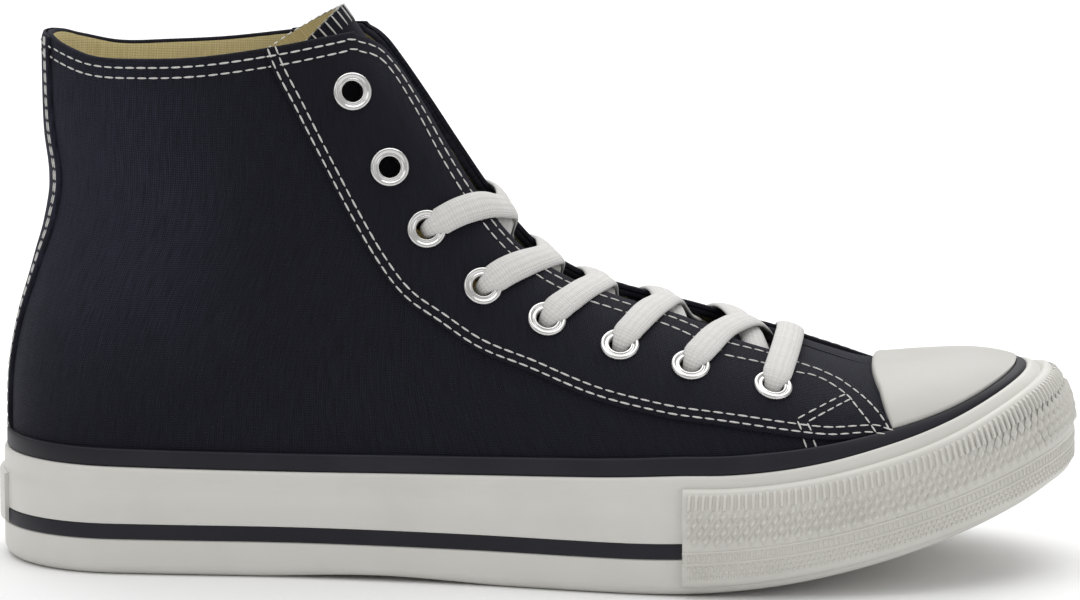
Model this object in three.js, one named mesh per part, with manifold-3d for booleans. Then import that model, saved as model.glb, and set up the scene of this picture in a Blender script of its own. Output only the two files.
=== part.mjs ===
// A right-foot high-top canvas sneaker, empty and standing on its sole, in millimetres.
// +X points to the toe, +Y to the inner (medial) side of the foot, and +Z up.
// Every piece is a skin of constant thickness on one surface, the last: a closed foot form
// whose half width is known at every place (x, z) of the side view.
import * as THREE from "three";
import { mergeVertices } from "three/addons/utils/BufferGeometryUtils.js";
import Module from "manifold-3d";

const wasm = await Module();
wasm.setup();

// Driving sizes of the whole shoe
const LAST_LENGTH = 289.5; // heel to toe of the canvas, inside the rubber
const LAST_BALL = 101; // canvas width across the ball of the foot
const COLLAR_HEIGHT = 145.5; // ground to the collar at the back seam
const HEEL_CURVE = 12.4; // how far the back seam leans in above the heel
const TOE_SPRING = 25; // lift of the sole at the toe tip
const TOE_SPRING_CURVE = 2.1;
const TOE_SPRING_FROM = 0.6; // share of the last's length, like the other FROM sizes
const ARCH = 1.2; // rise of the underside at the waist
const ARCH_FROM = 0.24;
const ARCH_TO = 0.5;
const SIDEWALL = 30; // ground to the top of the foxing tape at the ball

// Wall thicknesses and the gap between pieces that touch
const GAP = 0.3;
const CANVAS = 2.0;
const OVERLAY = 1.0; // second layer of canvas: eyestays and back stay
const FOXING = 2.2;
const TRIM = 1.2; // coloured tape above the foxing
const STRIPE = 0.6;
const BUMPER = 2.2;
const CAP = 1.6;
const TONGUE = 2.0;
const TONGUE_GAP = 1.2;

// Heights of the rubber parts
const OUTSOLE_EDGE = 9.8;
const OUTSOLE_ROUND = 3.6; // rounding under the outsole's edge
const STRIPE_HEIGHT = 4.2;
const STRIPE_GAP = 0.006; // between stripe and bumper, in stations
const TRIM_HEIGHT = 4.4;
const TOE_TRIM_HEIGHT = 1.8;
const BUMPER_RIM = 3.2; // plain foxing left bare above the bumper
const BUMPER_FROM = 0.657; // share of the last's length
const INSOLE = 4.0;
const INSOLE_GAP = 0.8;
const LABEL_WIDTH = 34;
const LABEL_HEIGHT = 14;
const LABEL = 1.0;

// Lacing
const EYELET_RADIUS = 5.0;
const EYELET_HOLE = 2.6;
const EYELET_FLANGE = 1.3;
const EYELET_BARREL = 0.5;
const EYELET_LIP = 0.2; // how much the hole widens at its outer rim
const FLANGE_GAP = 0.8; // the flange is flat and the canvas under it is curved
const LACE_WIDTH = 8.0;
const LACE_THICKNESS = 1.3;
const TONGUE_RISE = 7.5; // how far the tongue stands above the collar's front
const TONGUE_TOP_HALF = 21.5;
const TONGUE_LOW_HALF = 31;
const BACK_STAY_HALF = 11;
const SEAM_MARGIN = 1.9; // canvas left beyond the middle of the eyestay's lower seam

// Plan of the last: half width and sideways bend, in shares of LAST_BALL
const PLAN = [
  { at: 0.0, half: 0.345, bend: 0.0 },
  { at: 0.15, half: 0.355, bend: 0.0 },
  { at: 0.3, half: 0.345, bend: -0.015 },
  { at: 0.45, half: 0.37, bend: -0.04 },
  { at: 0.6, half: 0.46, bend: -0.03 },
  { at: 0.7, half: 0.5, bend: -0.01 },
  { at: 0.85, half: 0.5, bend: 0.035 },
  { at: 1.0, half: 0.48, bend: 0.07 },
];
// Instep line along the top of the last, in shares of COLLAR_HEIGHT; it runs on above the collar
const RIDGE = [
  { at: -0.1, height: 2.4 },
  { at: 0.2, height: 1.5 },
  { at: 0.32, height: 1.105 },
  { at: 0.3565, height: 1.0 },
  { at: 0.39, height: 0.905 },
  { at: 0.434, height: 0.777 },
  { at: 0.458, height: 0.709 },
  { at: 0.5, height: 0.604 },
  { at: 0.541, height: 0.546 },
  { at: 0.58, height: 0.517 },
  { at: 0.62, height: 0.495 },
  { at: 0.662, height: 0.474 },
  { at: 0.732, height: 0.431 },
  { at: 0.782, height: 0.396 },
  { at: 0.82, height: 0.376 },
  { at: 0.87, height: 0.381 },
  { at: 0.92, height: 0.388 },
  { at: 1.0, height: 0.388 },
];
// Back seam: lean in shares of HEEL_CURVE, at heights in shares of COLLAR_HEIGHT
const BACK = [
  { at: 0, lean: 0 },
  { at: 0.23, lean: 0 },
  { at: 0.344, lean: 0.024 },
  { at: 0.4, lean: 0.105 },
  { at: 0.46, lean: 0.25 },
  { at: 0.515, lean: 0.42 },
  { at: 0.577, lean: 0.61 },
  { at: 0.632, lean: 0.82 },
  { at: 0.692, lean: 0.976 },
  { at: 0.724, lean: 1.0 },
  { at: 0.75, lean: 0.984 },
  { at: 0.804, lean: 0.9 },
  { at: 0.866, lean: 0.87 },
  { at: 0.98, lean: 0.86 },
  { at: 1.2, lean: 0.9 },
];
// Side narrowing from foot to ankle, and how deep the heel's roundness is, by height
const ANKLE = [
  { at: 0.0, width: 1.0, depth: 0.12 },
  { at: 0.3, width: 1.0, depth: 0.125 },
  { at: 0.5, width: 0.93, depth: 0.16 },
  { at: 0.72, width: 0.86, depth: 0.24 },
  { at: 0.88, width: 0.93, depth: 0.22 },
  { at: 1.1, width: 1.0, depth: 0.2 },
];
// Top of the foxing tape above the sole line, in shares of SIDEWALL
const FOXING_TOP = [
  { at: 0, height: 1.02 },
  { at: 0.1, height: 1.0 },
  { at: 0.28, height: 0.98 },
  { at: 0.4, height: 1.0 },
  { at: 0.48, height: 1.02 },
  { at: 0.57, height: 1.05 },
  { at: 0.65, height: 1.08 },
  { at: 0.7, height: 1.06 },
  { at: 0.78, height: 1.04 },
  { at: 0.85, height: 1.04 },
  { at: 0.9, height: 1.05 },
  { at: 0.94, height: 1.07 },
  { at: 0.97, height: 1.08 },
  { at: 1.0, height: 1.08 },
];
// Collar edge seen from the side
const COLLAR = [
  { at: 0, height: 1.0 },
  { at: 0.0376, height: 0.998 },
  { at: 0.0576, height: 0.983 },
  { at: 0.0926, height: 0.9645 },
  { at: 0.1376, height: 0.9635 },
  { at: 0.1976, height: 0.97 },
  { at: 0.2676, height: 0.989 },
  { at: 0.3176, height: 1.005 },
  { at: 0.3426, height: 1.01 },
  { at: 0.3776, height: 1.01 },
];
// Half the gap between the eyestays, in shares of LAST_BALL
const THROAT = [
  { at: 0.3076, half: 0.22 },
  { at: 0.3416, half: 0.147 },
  { at: 0.3526, half: 0.125 },
  { at: 0.3676, half: 0.118 },
  { at: 0.3976, half: 0.13 },
  { at: 0.4476, half: 0.142 },
  { at: 0.5076, half: 0.125 },
  { at: 0.5676, half: 0.112 },
  { at: 0.6076, half: 0.12 },
  { at: 0.6376, half: 0.14 },
  { at: 0.6626, half: 0.18 },
  { at: 0.6976, half: 0.225 },
  { at: 0.7476, half: 0.232 },
  { at: 0.7826, half: 0.235 },
  { at: 0.7976, half: 0.27 },
  { at: 0.8126, half: 0.33 },
];
// Back edge of the toe cap, from the instep down to the trim
const CAP_LINE = [
  { at: 0.8036, height: 0.45 },
  { at: 0.8179, height: 0.39 },
  { at: 0.8333, height: 0.353 },
  { at: 0.8467, height: 0.296 },
  { at: 0.8576, height: 0.24 },
];
const THROAT_END = 0.745; // share of the length where the vamp's top edge lies
// Lower seam of the eyestay, from the collar to its front tip
const EYESTAY_SEAM = [
  { at: 0.2576, height: 1.06 },
  { at: 0.2646, height: 0.985 },
  { at: 0.2906, height: 0.88 },
  { at: 0.3256, height: 0.745 },
  { at: 0.3406, height: 0.69 },
  { at: 0.3656, height: 0.608 },
  { at: 0.3926, height: 0.54 },
  { at: 0.4256, height: 0.495 },
  { at: 0.4636, height: 0.447 },
  { at: 0.5126, height: 0.41 },
  { at: 0.5706, height: 0.368 },
  { at: 0.6276, height: 0.343 },
  { at: 0.6856, height: 0.327 },
  { at: 0.7416, height: 0.311 },
  { at: 0.7866, height: 0.297 },
  { at: 0.8176, height: 0.295 },
];
// Eyelets from the top one down, as places of the side view
const EYELETS = [
  { at: 0.338, height: 0.902 },
  { at: 0.3741, height: 0.764 },
  { at: 0.4099, height: 0.651 },
  { at: 0.4632, height: 0.547 },
  { at: 0.5228, height: 0.484 },
  { at: 0.5921, height: 0.44 },
  { at: 0.6585, height: 0.4075 },
  { at: 0.7345, height: 0.37 },
];
const LACED_FROM = 2; // the first laced pair, counted from the top pair as 0

// Fineness of the faceted solids
const AROUND = 24; // stations from heel to toe on each side
const UP = 6; // levels from the trim to the top of the canvas
const EYELET_SIDES = 8;

const SIDES = { lateral: -1, medial: 1 };

// A smooth curve through one column of a table
function follow(rows, column, at) {
  let i = 1;
  while (i < rows.length - 1 && rows[i].at < at) i++;
  const [a, b] = [rows[i - 1], rows[i]];
  const before = rows[i - 2] ?? a;
  const after = rows[i + 1] ?? b;
  const span = b.at - a.at;
  const t = THREE.MathUtils.clamp((at - a.at) / span, 0, 1);
  const slopeA = ((b[column] - before[column]) / (b.at - before.at)) * span;
  const slopeB = ((after[column] - a[column]) / (after.at - a.at)) * span;
  const t2 = t * t;
  const t3 = t2 * t;
  return (
    (2 * t3 - 3 * t2 + 1) * a[column] +
    (t3 - 2 * t2 + t) * slopeA +
    (3 * t2 - 2 * t3) * b[column] +
    (t3 - t2) * slopeB
  );
}

// The sole line's lift above the ground
function lift(x) {
  const share = Math.max(0, (x / LAST_LENGTH - TOE_SPRING_FROM) / (1 - TOE_SPRING_FROM));
  return TOE_SPRING * share ** TOE_SPRING_CURVE;
}

// The underside rises a little between the heel's and the ball's flat spots
function arch(x) {
  const share = THREE.MathUtils.clamp((x / LAST_LENGTH - ARCH_FROM) / (ARCH_TO - ARCH_FROM), 0, 1);
  return ARCH * Math.sin(Math.PI * share) ** 2;
}

const soleEdge = (x) => lift(x) + OUTSOLE_EDGE;
const wallBase = (x) => soleEdge(x) + GAP;
const foxingTop = (x) => lift(x) + SIDEWALL * follow(FOXING_TOP, "height", x / LAST_LENGTH);
const trimHeight = (x) =>
  THREE.MathUtils.lerp(TRIM_HEIGHT, TOE_TRIM_HEIGHT, THREE.MathUtils.smoothstep(x / LAST_LENGTH, 0.7, 0.95));
const trimTop = (x) => foxingTop(x) + GAP + trimHeight(x);
const canvasLine = (x) => trimTop(x) + GAP;
const centreY = (x) => LAST_BALL * follow(PLAN, "bend", x / LAST_LENGTH);
const backX = (z) => HEEL_CURVE * follow(BACK, "lean", z / COLLAR_HEIGHT);

// Height up to which the sides stand straight, just below the foxing's top
const SHOULDER_DROP = 6;
const TOE_DROOP = 18;
const TOE_DROOP_FROM = 0.85;
function shoulder(x) {
  const droop = TOE_DROOP * Math.max(0, (x / LAST_LENGTH - TOE_DROOP_FROM) / (1 - TOE_DROOP_FROM)) ** 2;
  return foxingTop(x) - SHOULDER_DROP - droop;
}

// The instep line, which falls steeply at the toe tip
const TOE_DROP_FROM = 0.875;
const TOE_CURVE = 3.2;
function ridge(x) {
  const top = COLLAR_HEIGHT * follow(RIDGE, "height", x / LAST_LENGTH);
  const t = Math.max(0, (x / LAST_LENGTH - TOE_DROP_FROM) / (1 - TOE_DROP_FROM));
  const base = shoulder(x);
  return base + (top - base) * Math.max(0, 1 - Math.min(t, 1) ** TOE_CURVE) ** (1 / TOE_CURVE);
}

const steps = (from, to, count) =>
  Array.from({ length: count + 1 }, (_, i) => from + ((to - from) * i) / count);
const signedPower = (value, power) => Math.sign(value) * Math.abs(value) ** power;

// The square of the last's half width at a place of the side view; below zero outside its outline.
// Heel, toe and crown are rounded by superellipses with these exponents.
const HEEL_ROUND = 2.15;
const TOE_ROUND = 2.2;
const TOE_ROUND_FROM = 0.71;
const CROWN = 2.3;
function widthSquared(x, z) {
  const at = x / LAST_LENGTH;
  const up = z / COLLAR_HEIGHT;
  const half = LAST_BALL * follow(PLAN, "half", at) * follow(ANKLE, "width", up);
  const depth = LAST_LENGTH * follow(ANKLE, "depth", up);
  const fromBack = Math.min((x - backX(z)) / depth, 1);
  const heel = signedPower(1 - (1 - fromBack) ** HEEL_ROUND, 2 / HEEL_ROUND);
  const toeShare = Math.max(0, (at - TOE_ROUND_FROM) / (1 - TOE_ROUND_FROM));
  const toe = signedPower(1 - toeShare ** TOE_ROUND, 2 / TOE_ROUND);
  const base = shoulder(x);
  const rise = Math.max(0, (z - base) / Math.max(ridge(x) - base, 1e-6));
  const crown = signedPower(1 - rise ** CROWN, 2 / CROWN);
  return half * half * Math.min(heel, toe, crown, heel * toe * crown);
}

const halfWidth = (x, z) => Math.sqrt(Math.max(0, widthSquared(x, z)));

// A point of the last's surface, moved out along its normal
function onLast(side, x, z, out = 0) {
  const step = 0.05;
  const half = halfWidth(x, z);
  const turn = (centreY(x + step) - centreY(x - step)) * side * half;
  const normal = new THREE.Vector3(
    (widthSquared(x - step, z) - widthSquared(x + step, z)) / (2 * step) - turn / step,
    2 * side * half,
    (widthSquared(x, z - step) - widthSquared(x, z + step)) / (2 * step),
  ).normalize();
  return new THREE.Vector3(x, centreY(x) + side * half, z).addScaledVector(normal, out);
}

// Where a falling function of x crosses a level, by halving
function crossing(f, low, high) {
  for (let i = 0; i < 40; i++) {
    const middle = (low + high) / 2;
    if (f(middle) > 0) low = middle;
    else high = middle;
  }
  return (low + high) / 2;
}

// Front of the last at a height, where the instep line comes down over the toe
function frontX(z) {
  if (ridge(LAST_LENGTH) >= z) return LAST_LENGTH;
  return crossing((x) => ridge(x) - z, TOE_DROP_FROM * LAST_LENGTH, LAST_LENGTH);
}

// Stations from the heel (0) to the toe (1), closer together at both ends
const footX = (u) => (LAST_LENGTH * (1 - Math.cos(Math.PI * u))) / 2;

// The place of the side view where a station meets a height that varies along the shoe
function ringPlace(u, height) {
  const share = footX(u) / LAST_LENGTH;
  const ahead = (x) => THREE.MathUtils.lerp(backX(height(x)), frontX(height(x)), share) - x;
  const x = crossing(ahead, -0.02 * LAST_LENGTH, LAST_LENGTH);
  return [x, height(x)];
}

const onRing = ({ side, u }, height, out) => onLast(side, ...ringPlace(u, height), out);

// Stations round the whole shoe: toe, lateral side, heel, medial side
const ROUND = [
  ...Array.from({ length: AROUND }, (_, i) => ({ side: -1, u: (AROUND - i) / AROUND })),
  ...Array.from({ length: AROUND }, (_, i) => ({ side: 1, u: i / AROUND })),
];

// A solid from vertices and triangles, with doubles merged and its faces turned outwards
function solidOf(points, triangles) {
  const geometry = new THREE.BufferGeometry().setFromPoints(points).setIndex(triangles);
  const merged = mergeVertices(geometry, 1e-3);
  const index = merged.index.array;
  const kept = [];
  for (let i = 0; i < index.length; i += 3) {
    const [a, b, c] = index.subarray(i, i + 3);
    if (a !== b && b !== c && c !== a) kept.push(a, b, c);
  }
  const vertProperties = merged.getAttribute("position").array;
  const make = (order) => {
    const triVerts = new Uint32Array(order);
    return new wasm.Manifold(new wasm.Mesh({ numProp: 3, vertProperties, triVerts }));
  };
  const solid = make(kept);
  return solid.volume() > 0 ? solid : make(kept.map((_, i) => kept[i - (i % 3) + 2 - (i % 3)]));
}

// Collects quads between rows of points
class Faces {
  points = [];
  triangles = [];
  row(points) {
    const first = this.points.length;
    this.points.push(...points);
    return points.map((_, i) => first + i);
  }
  quad(a, b, c, d, turned = false) {
    if (turned) this.triangles.push(a, c, b, a, d, c);
    else this.triangles.push(a, b, c, a, c, d);
  }
  // Facing layers share the same diagonals, so that the gap between them stays even
  strip(lower, upper, loop = false, turned = false) {
    const count = loop ? lower.length : lower.length - 1;
    for (let i = 0; i < count; i++) {
      const next = (i + 1) % lower.length;
      this.quad(lower[i], lower[next], upper[next], upper[i], turned);
    }
  }
  solid() {
    return solidOf(this.points, this.triangles);
  }
}

// A closed section carried along stations: a tape round the shoe, a lace or a tube
function sweep(sections, loop = false) {
  const faces = new Faces();
  const rows = sections.map((section) => faces.row(section));
  const count = loop ? rows.length : rows.length - 1;
  const { points } = faces;
  for (let i = 0; i < count; i++) {
    const ahead = rows[(i + 1) % rows.length];
    rows[i].forEach((a, k) => {
      const next = (k + 1) % rows[i].length;
      const b = rows[i][next];
      if (points[a].z < points[b].z) faces.quad(a, b, ahead[next], ahead[k]);
      else faces.quad(b, ahead[next], ahead[k], a);
    });
  }
  if (!loop) {
    const [first, last] = [rows[0], rows[rows.length - 1]];
    for (let k = 1; k < first.length - 1; k++) {
      faces.triangles.push(first[0], first[k + 1], first[k], last[0], last[k], last[k + 1]);
    }
  }
  return faces.solid();
}

// A sheet with thickness: an outer and an inner grid of points joined along their edges
function sheet(outer, inner) {
  const faces = new Faces();
  const front = outer.map((row) => faces.row(row));
  const back = inner.map((row) => faces.row(row));
  const last = front.length - 1;
  for (let i = 0; i < last; i++) {
    faces.strip(front[i], front[i + 1]);
    faces.strip(back[i], back[i + 1], false, true);
  }
  const end = front[0].length - 1;
  faces.strip(back[0], front[0]);
  faces.strip(front[last], back[last]);
  faces.strip(front.map((row) => row[0]), back.map((row) => row[0]));
  faces.strip(back.map((row) => row[end]), front.map((row) => row[end]));
  return faces.solid();
}

// A plate filling the plan: level outlines stacked from the bottom up, closed above and below
function plate(levels) {
  const faces = new Faces();
  const rings = levels.map(({ above, out, arched = 0 }) =>
    faces.row(ROUND.map((station) => {
      const [x] = ringPlace(station.u, soleEdge);
      return onRing(station, soleEdge, out).setZ(lift(x) + above + arch(x) * arched);
    })),
  );
  for (let i = 0; i < rings.length - 1; i++) faces.strip(rings[i], rings[i + 1], true);
  const count = ROUND.length;
  const cap = (ring, turned) => {
    for (let i = 0; i < AROUND; i++) {
      const corners = [ring[i], ring[i + 1], ring[(count - i - 1) % count], ring[(count - i) % count]];
      faces.quad(...(turned ? corners.reverse() : corners));
    }
  };
  cap(rings[0], true);
  cap(rings[rings.length - 1], false);
  return faces.solid();
}

// The canvas above the trim runs on ribs: up to the collar behind, up to the instep line in front
const collarZ = (x) => COLLAR_HEIGHT * follow(COLLAR, "height", x / LAST_LENGTH);
const collarFront = crossing((x) => ridge(x) - collarZ(x), 0.25 * LAST_LENGTH, 0.45 * LAST_LENGTH);
const COLLAR_SHARE = 11 / AROUND; // stations up to this one end at the collar

function topOfRib(u) {
  if (u < COLLAR_SHARE - 1e-9) {
    const start = backX(COLLAR_HEIGHT);
    const x = start + ((collarFront - start) * (1 - Math.cos((Math.PI * u) / COLLAR_SHARE))) / 2;
    return [x, collarZ(x)];
  }
  const along = (u - COLLAR_SHARE) / (1 - COLLAR_SHARE);
  const lean = ringPlace(COLLAR_SHARE, canvasLine)[0] - collarFront;
  const x = ringPlace(u, canvasLine)[0] - lean * (1 - along) ** 1.5;
  return [x, ridge(x)];
}

// A place on a station's rib, from the trim (0) to the rib's top (1)
function ribPlace(u, share) {
  const [lowX, lowZ] = ringPlace(u, canvasLine);
  const [topX, topZ] = topOfRib(u);
  const roundness = THREE.MathUtils.smoothstep(u, COLLAR_SHARE - 0.15, COLLAR_SHARE + 0.1);
  const rise = THREE.MathUtils.lerp(share, Math.sin((share * Math.PI) / 2), roundness);
  const z = THREE.MathUtils.lerp(lowZ, topZ, rise);
  const x = backX(z) + THREE.MathUtils.lerp(lowX - backX(lowZ), topX - backX(topZ), rise);
  return [x, z];
}

// Levels of the foot below the ribs, shared by the canvas and the foxing
const above = (height, distance) => (x) => height(x) + distance;
const bumperTop = above(foxingTop, -BUMPER_RIM);
const bumperMiddle = (x) => (shoulder(x) + bumperTop(x)) / 2;
const FOOT_LEVELS = [wallBase, shoulder, bumperMiddle, bumperTop, foxingTop];
const RIB_STEPS = steps(0, 1, UP);

// A skin over the ribs, and over the foot levels too if they are asked for
function skin(outer, inner, levels = []) {
  const faces = new Faces();
  const onRib = ({ side, u }, share, out) => onLast(side, ...ribPlace(u, share), out);
  const grid = (out) => [
    ...levels.map((height) => faces.row(ROUND.map((station) => onRing(station, height, out)))),
    ...RIB_STEPS.map((share) => faces.row(ROUND.map((station) => onRib(station, share, out)))),
  ];
  const [front, back] = [grid(outer), grid(inner)];
  const top = front.length - 1;
  for (let k = 0; k < top; k++) {
    faces.strip(front[k], front[k + 1], true);
    faces.strip(back[k], back[k + 1], true, true);
  }
  faces.strip(back[0], front[0], true);
  ROUND.forEach((station, i) => {
    const next = (i + 1) % ROUND.length;
    if (Math.min(station.u, ROUND[next].u) < COLLAR_SHARE - 1e-9) {
      faces.quad(front[top][i], front[top][next], back[top][next], back[top][i]);
    }
  });
  return faces.solid();
}

const pointsOf = (geometry) => {
  const position = geometry.getAttribute("position");
  const pointAt = (_, i) => new THREE.Vector3().fromBufferAttribute(position, i);
  return Array.from({ length: position.count }, pointAt);
};

// An outline drawn on a plane and carried through the shoe, to cut with
function prism(outline, depth, place) {
  const shape = new THREE.Shape(outline.map(([a, b]) => new THREE.Vector2(a, b)));
  const geometry = new THREE.ExtrudeGeometry(shape, { depth, bevelEnabled: false }).applyMatrix4(place);
  const points = pointsOf(geometry);
  return solidOf(points, points.map((_, i) => i));
}

const TALL = 400;
const fromAbove = new THREE.Matrix4();
const fromTheSide = (side, depth = TALL / 2) =>
  new THREE.Matrix4().makeRotationX(Math.PI / 2).setPosition(0, side > 0 ? depth : 0, 0);

// The throat between the eyestays, cut straight down from above
const throatHalf = (x) => LAST_BALL * follow(THROAT, "half", x / LAST_LENGTH);
function throatCutter() {
  const end = THROAT_END * LAST_LENGTH;
  const corner = 0.045 * LAST_LENGTH;
  const stations = steps(THROAT[0].at * LAST_LENGTH, end - corner, 11);
  const arc = steps(0, 1, 4).slice(1).map((t) => (t * Math.PI) / 2);
  const edge = (side) => [
    ...stations.map((x) => [x, centreY(x) + side * throatHalf(x)]),
    ...arc.map((angle) => {
      const x = end - corner + corner * Math.sin(angle);
      const narrowing = throatHalf(x) - corner * (1 - Math.cos(angle));
      return [x, centreY(x) + side * narrowing];
    }),
  ];
  return prism([...edge(1), ...edge(-1).reverse()], TALL, fromAbove);
}

// Eyelets: place and outward direction on the canvas
function eyeletPlace(side, row) {
  const x = row.at * LAST_LENGTH;
  const z = row.height * COLLAR_HEIGHT;
  const seat = onLast(side, x, z, 0);
  const outward = onLast(side, x, z, 1).sub(seat);
  return { x, z, seat, outward };
}

function placed(geometry, seat, outward) {
  const turn = new THREE.Quaternion().setFromUnitVectors(new THREE.Vector3(0, 1, 0), outward);
  return geometry.applyMatrix4(new THREE.Matrix4().compose(seat, turn, new THREE.Vector3(1, 1, 1)));
}

const DRILL_LENGTH = 14;
function eyeletHole({ seat, outward }) {
  const radius = EYELET_HOLE + EYELET_BARREL + GAP;
  const drill = placed(new THREE.CylinderGeometry(radius, radius, DRILL_LENGTH, EYELET_SIDES), seat, outward);
  return solidOf(pointsOf(drill), [...drill.index.array]);
}

// A rolled metal eyelet: a domed flange outside and a barrel through both canvas layers
function eyeletRing({ seat, outward }) {
  const floor = GAP + OVERLAY + FLANGE_GAP;
  const profile = [
    [EYELET_HOLE, -CANVAS],
    [EYELET_HOLE + EYELET_BARREL, -CANVAS],
    [EYELET_HOLE + EYELET_BARREL, floor],
    [EYELET_RADIUS, floor],
    [EYELET_HOLE + EYELET_LIP, floor + EYELET_FLANGE],
  ].map(([r, y]) => new THREE.Vector2(r, y));
  const ring = placed(new THREE.LatheGeometry([...profile, profile[0]], EYELET_SIDES), seat, outward);
  return solidOf(pointsOf(ring), [...ring.index.array]);
}

const ridgeSlope = (x) => ridge(x + 0.5) - ridge(x - 0.5);

// The place of the side view that lies at a sideways distance from the instep line
function besideRidge(ridgeX, distance) {
  const rise = ridgeSlope(ridgeX);
  const length = Math.hypot(rise, 1);
  const at = (depth) => [ridgeX + (rise / length) * depth, ridge(ridgeX) - depth / length];
  const depth = crossing((d) => Math.abs(distance) - halfWidth(...at(d)), 0, 0.7 * LAST_BALL);
  return at(depth);
}

const overThroat = (ridgeX, distance, out) =>
  onLast(distance < 0 ? -1 : 1, ...besideRidge(ridgeX, distance), out);

// The instep place straight above a place of the side view
function ridgeAbove(x, z) {
  return crossing((r) => x - r + (z - ridge(r)) * ridgeSlope(r), x, x + 0.7 * LAST_BALL);
}

// A flat lace strip laid over the throat along ridge places and sideways distances
function laceStrip(path) {
  const middle = path.map((place) => overThroat(...place));
  const sections = middle.map((point, i) => {
    const [r, distance, lower] = path[i];
    const up = overThroat(r, distance, lower + 1).sub(point).normalize();
    const ahead = middle[Math.min(i + 1, middle.length - 1)].clone().sub(middle[Math.max(i - 1, 0)]);
    const across = new THREE.Vector3().crossVectors(up, ahead).normalize();
    const edge = (side) => point.clone().addScaledVector(across, (side * LACE_WIDTH) / 2);
    const raised = (corner) => corner.addScaledVector(up, LACE_THICKNESS);
    return [edge(-1), edge(1), raised(edge(1)), raised(edge(-1))];
  });
  return sweep(sections);
}

// Each run lies over one eyestay, clear of its eyelet, and sinks to the tongue at the other
const LACE_STEPS = 8;
const LACE_RISE = 0.8; // above the eyestay, which stands a little proud in the hollow of the instep
const laceHigh = GAP + OVERLAY + FLANGE_GAP + LACE_RISE;
const laceLow = -CANVAS;
const LACE_CLEAR = 0.8; // from a lace's end to the eyelet's flange
// Sideways distance at which a lace over this instep place comes up to its eyelet
function laceStart(side, { x, z, seat }, ridgeX) {
  const half = halfWidth(x, z);
  const clear = EYELET_RADIUS + LACE_CLEAR;
  const away = (distance) => overThroat(ridgeX, side * distance, 0).distanceTo(seat) - clear;
  return crossing(away, half - 3 * EYELET_RADIUS, half);
}

function laceRun(side, from, to) {
  const start = eyeletPlace(side, from);
  const goal = eyeletPlace(-side, to);
  const startRidge = ridgeAbove(start.x, start.z);
  const endRidge = ridgeAbove(goal.x, goal.z) - LACE_WIDTH / 2;
  const begin = laceStart(side, start, startRidge);
  const reach = throatHalf(goal.x - LACE_WIDTH) - 2;
  const leave = (begin - throatHalf(start.x)) / (begin + reach);
  const [startHalf, endHalf] = [start, goal].map(({ x, z }) => halfWidth(x, z));
  return steps(0, 1, LACE_STEPS).map((t) => {
    const distance = THREE.MathUtils.lerp(begin, -reach, t);
    const share = (startHalf - distance) / (startHalf + endHalf);
    const lower = THREE.MathUtils.lerp(laceHigh, laceLow, THREE.MathUtils.smoothstep(t, leave, 1));
    return [THREE.MathUtils.lerp(startRidge, endRidge, share), side * distance, lower];
  });
}

function laceBar(row) {
  const start = eyeletPlace(1, row);
  const ridgeX = ridgeAbove(start.x, start.z);
  const half = laceStart(1, start, ridgeX);
  return steps(-half, half, LACE_STEPS).map((distance) => [ridgeX, distance, laceHigh - LACE_RISE]);
}

// Assembly: every finished solid becomes a named mesh with its own material
const finish = (color, roughness, metalness = 0) =>
  new THREE.MeshStandardMaterial({ color, roughness, metalness });
const FINISHES = {
  canvas: finish(0x1c1f2e, 0.9),
  whiteRubber: finish(0xe4e2dc, 0.5),
  navyRubber: finish(0x23263a, 0.55),
  lining: finish(0xcbbf95, 0.95),
  metal: finish(0xd0d0cc, 0.3, 1),
  lace: finish(0xe9e8e4, 0.95),
};
const shoe = new THREE.Group();

function addPiece(name, solid, material) {
  const mesh = solid.getMesh();
  const geometry = new THREE.BufferGeometry()
    .setAttribute("position", new THREE.BufferAttribute(mesh.vertProperties, mesh.numProp))
    .setIndex(new THREE.BufferAttribute(mesh.triVerts, 1));
  geometry.computeVertexNormals();
  const piece = new THREE.Mesh(geometry, material);
  piece.name = name;
  shoe.add(piece);
}

// Sole
const rubberOut = GAP + FOXING;
addPiece(
  "outsole",
  plate([
    { above: 0, out: rubberOut - OUTSOLE_ROUND, arched: 1 },
    { above: OUTSOLE_ROUND * 0.3, out: rubberOut - OUTSOLE_ROUND * 0.3 },
    { above: OUTSOLE_ROUND, out: rubberOut },
    { above: OUTSOLE_EDGE, out: rubberOut },
  ]),
  FINISHES.whiteRubber,
);
addPiece(
  "insole",
  plate([
    { above: OUTSOLE_EDGE + GAP, out: -CANVAS - INSOLE_GAP },
    { above: OUTSOLE_EDGE + GAP + INSOLE, out: -CANVAS - INSOLE_GAP },
  ]),
  FINISHES.lining,
);

// A tape round the shoe: its section is a list of heights along the shoe and distances out
const tape = (stations, section, loop) =>
  sweep(stations.map((station) => section.map(([height, out]) => onRing(station, height, out))), loop);
const stripeTop = above(wallBase, STRIPE_HEIGHT);
const stripeSeat = rubberOut - STRIPE;
addPiece(
  "foxing",
  tape(
    ROUND,
    [
      [wallBase, GAP],
      [wallBase, stripeSeat - GAP],
      [above(stripeTop, GAP), stripeSeat - GAP],
      [above(stripeTop, GAP), rubberOut],
      [shoulder, rubberOut],
      [bumperMiddle, rubberOut],
      [bumperTop, rubberOut],
      [foxingTop, rubberOut],
      [foxingTop, GAP],
      [bumperTop, GAP],
      [bumperMiddle, GAP],
      [shoulder, GAP],
    ],
    true,
  ),
  FINISHES.whiteRubber,
);
const trimBase = above(foxingTop, GAP);
// A flat tape between two heights and two distances out
const band = (stations, low, high, inner, outer, loop) =>
  tape(stations, [[low, inner], [low, outer], [high, outer], [high, inner]], loop);
addPiece("foxing_trim", band(ROUND, trimBase, trimTop, GAP, GAP + TRIM, true), FINISHES.navyRubber);

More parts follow.
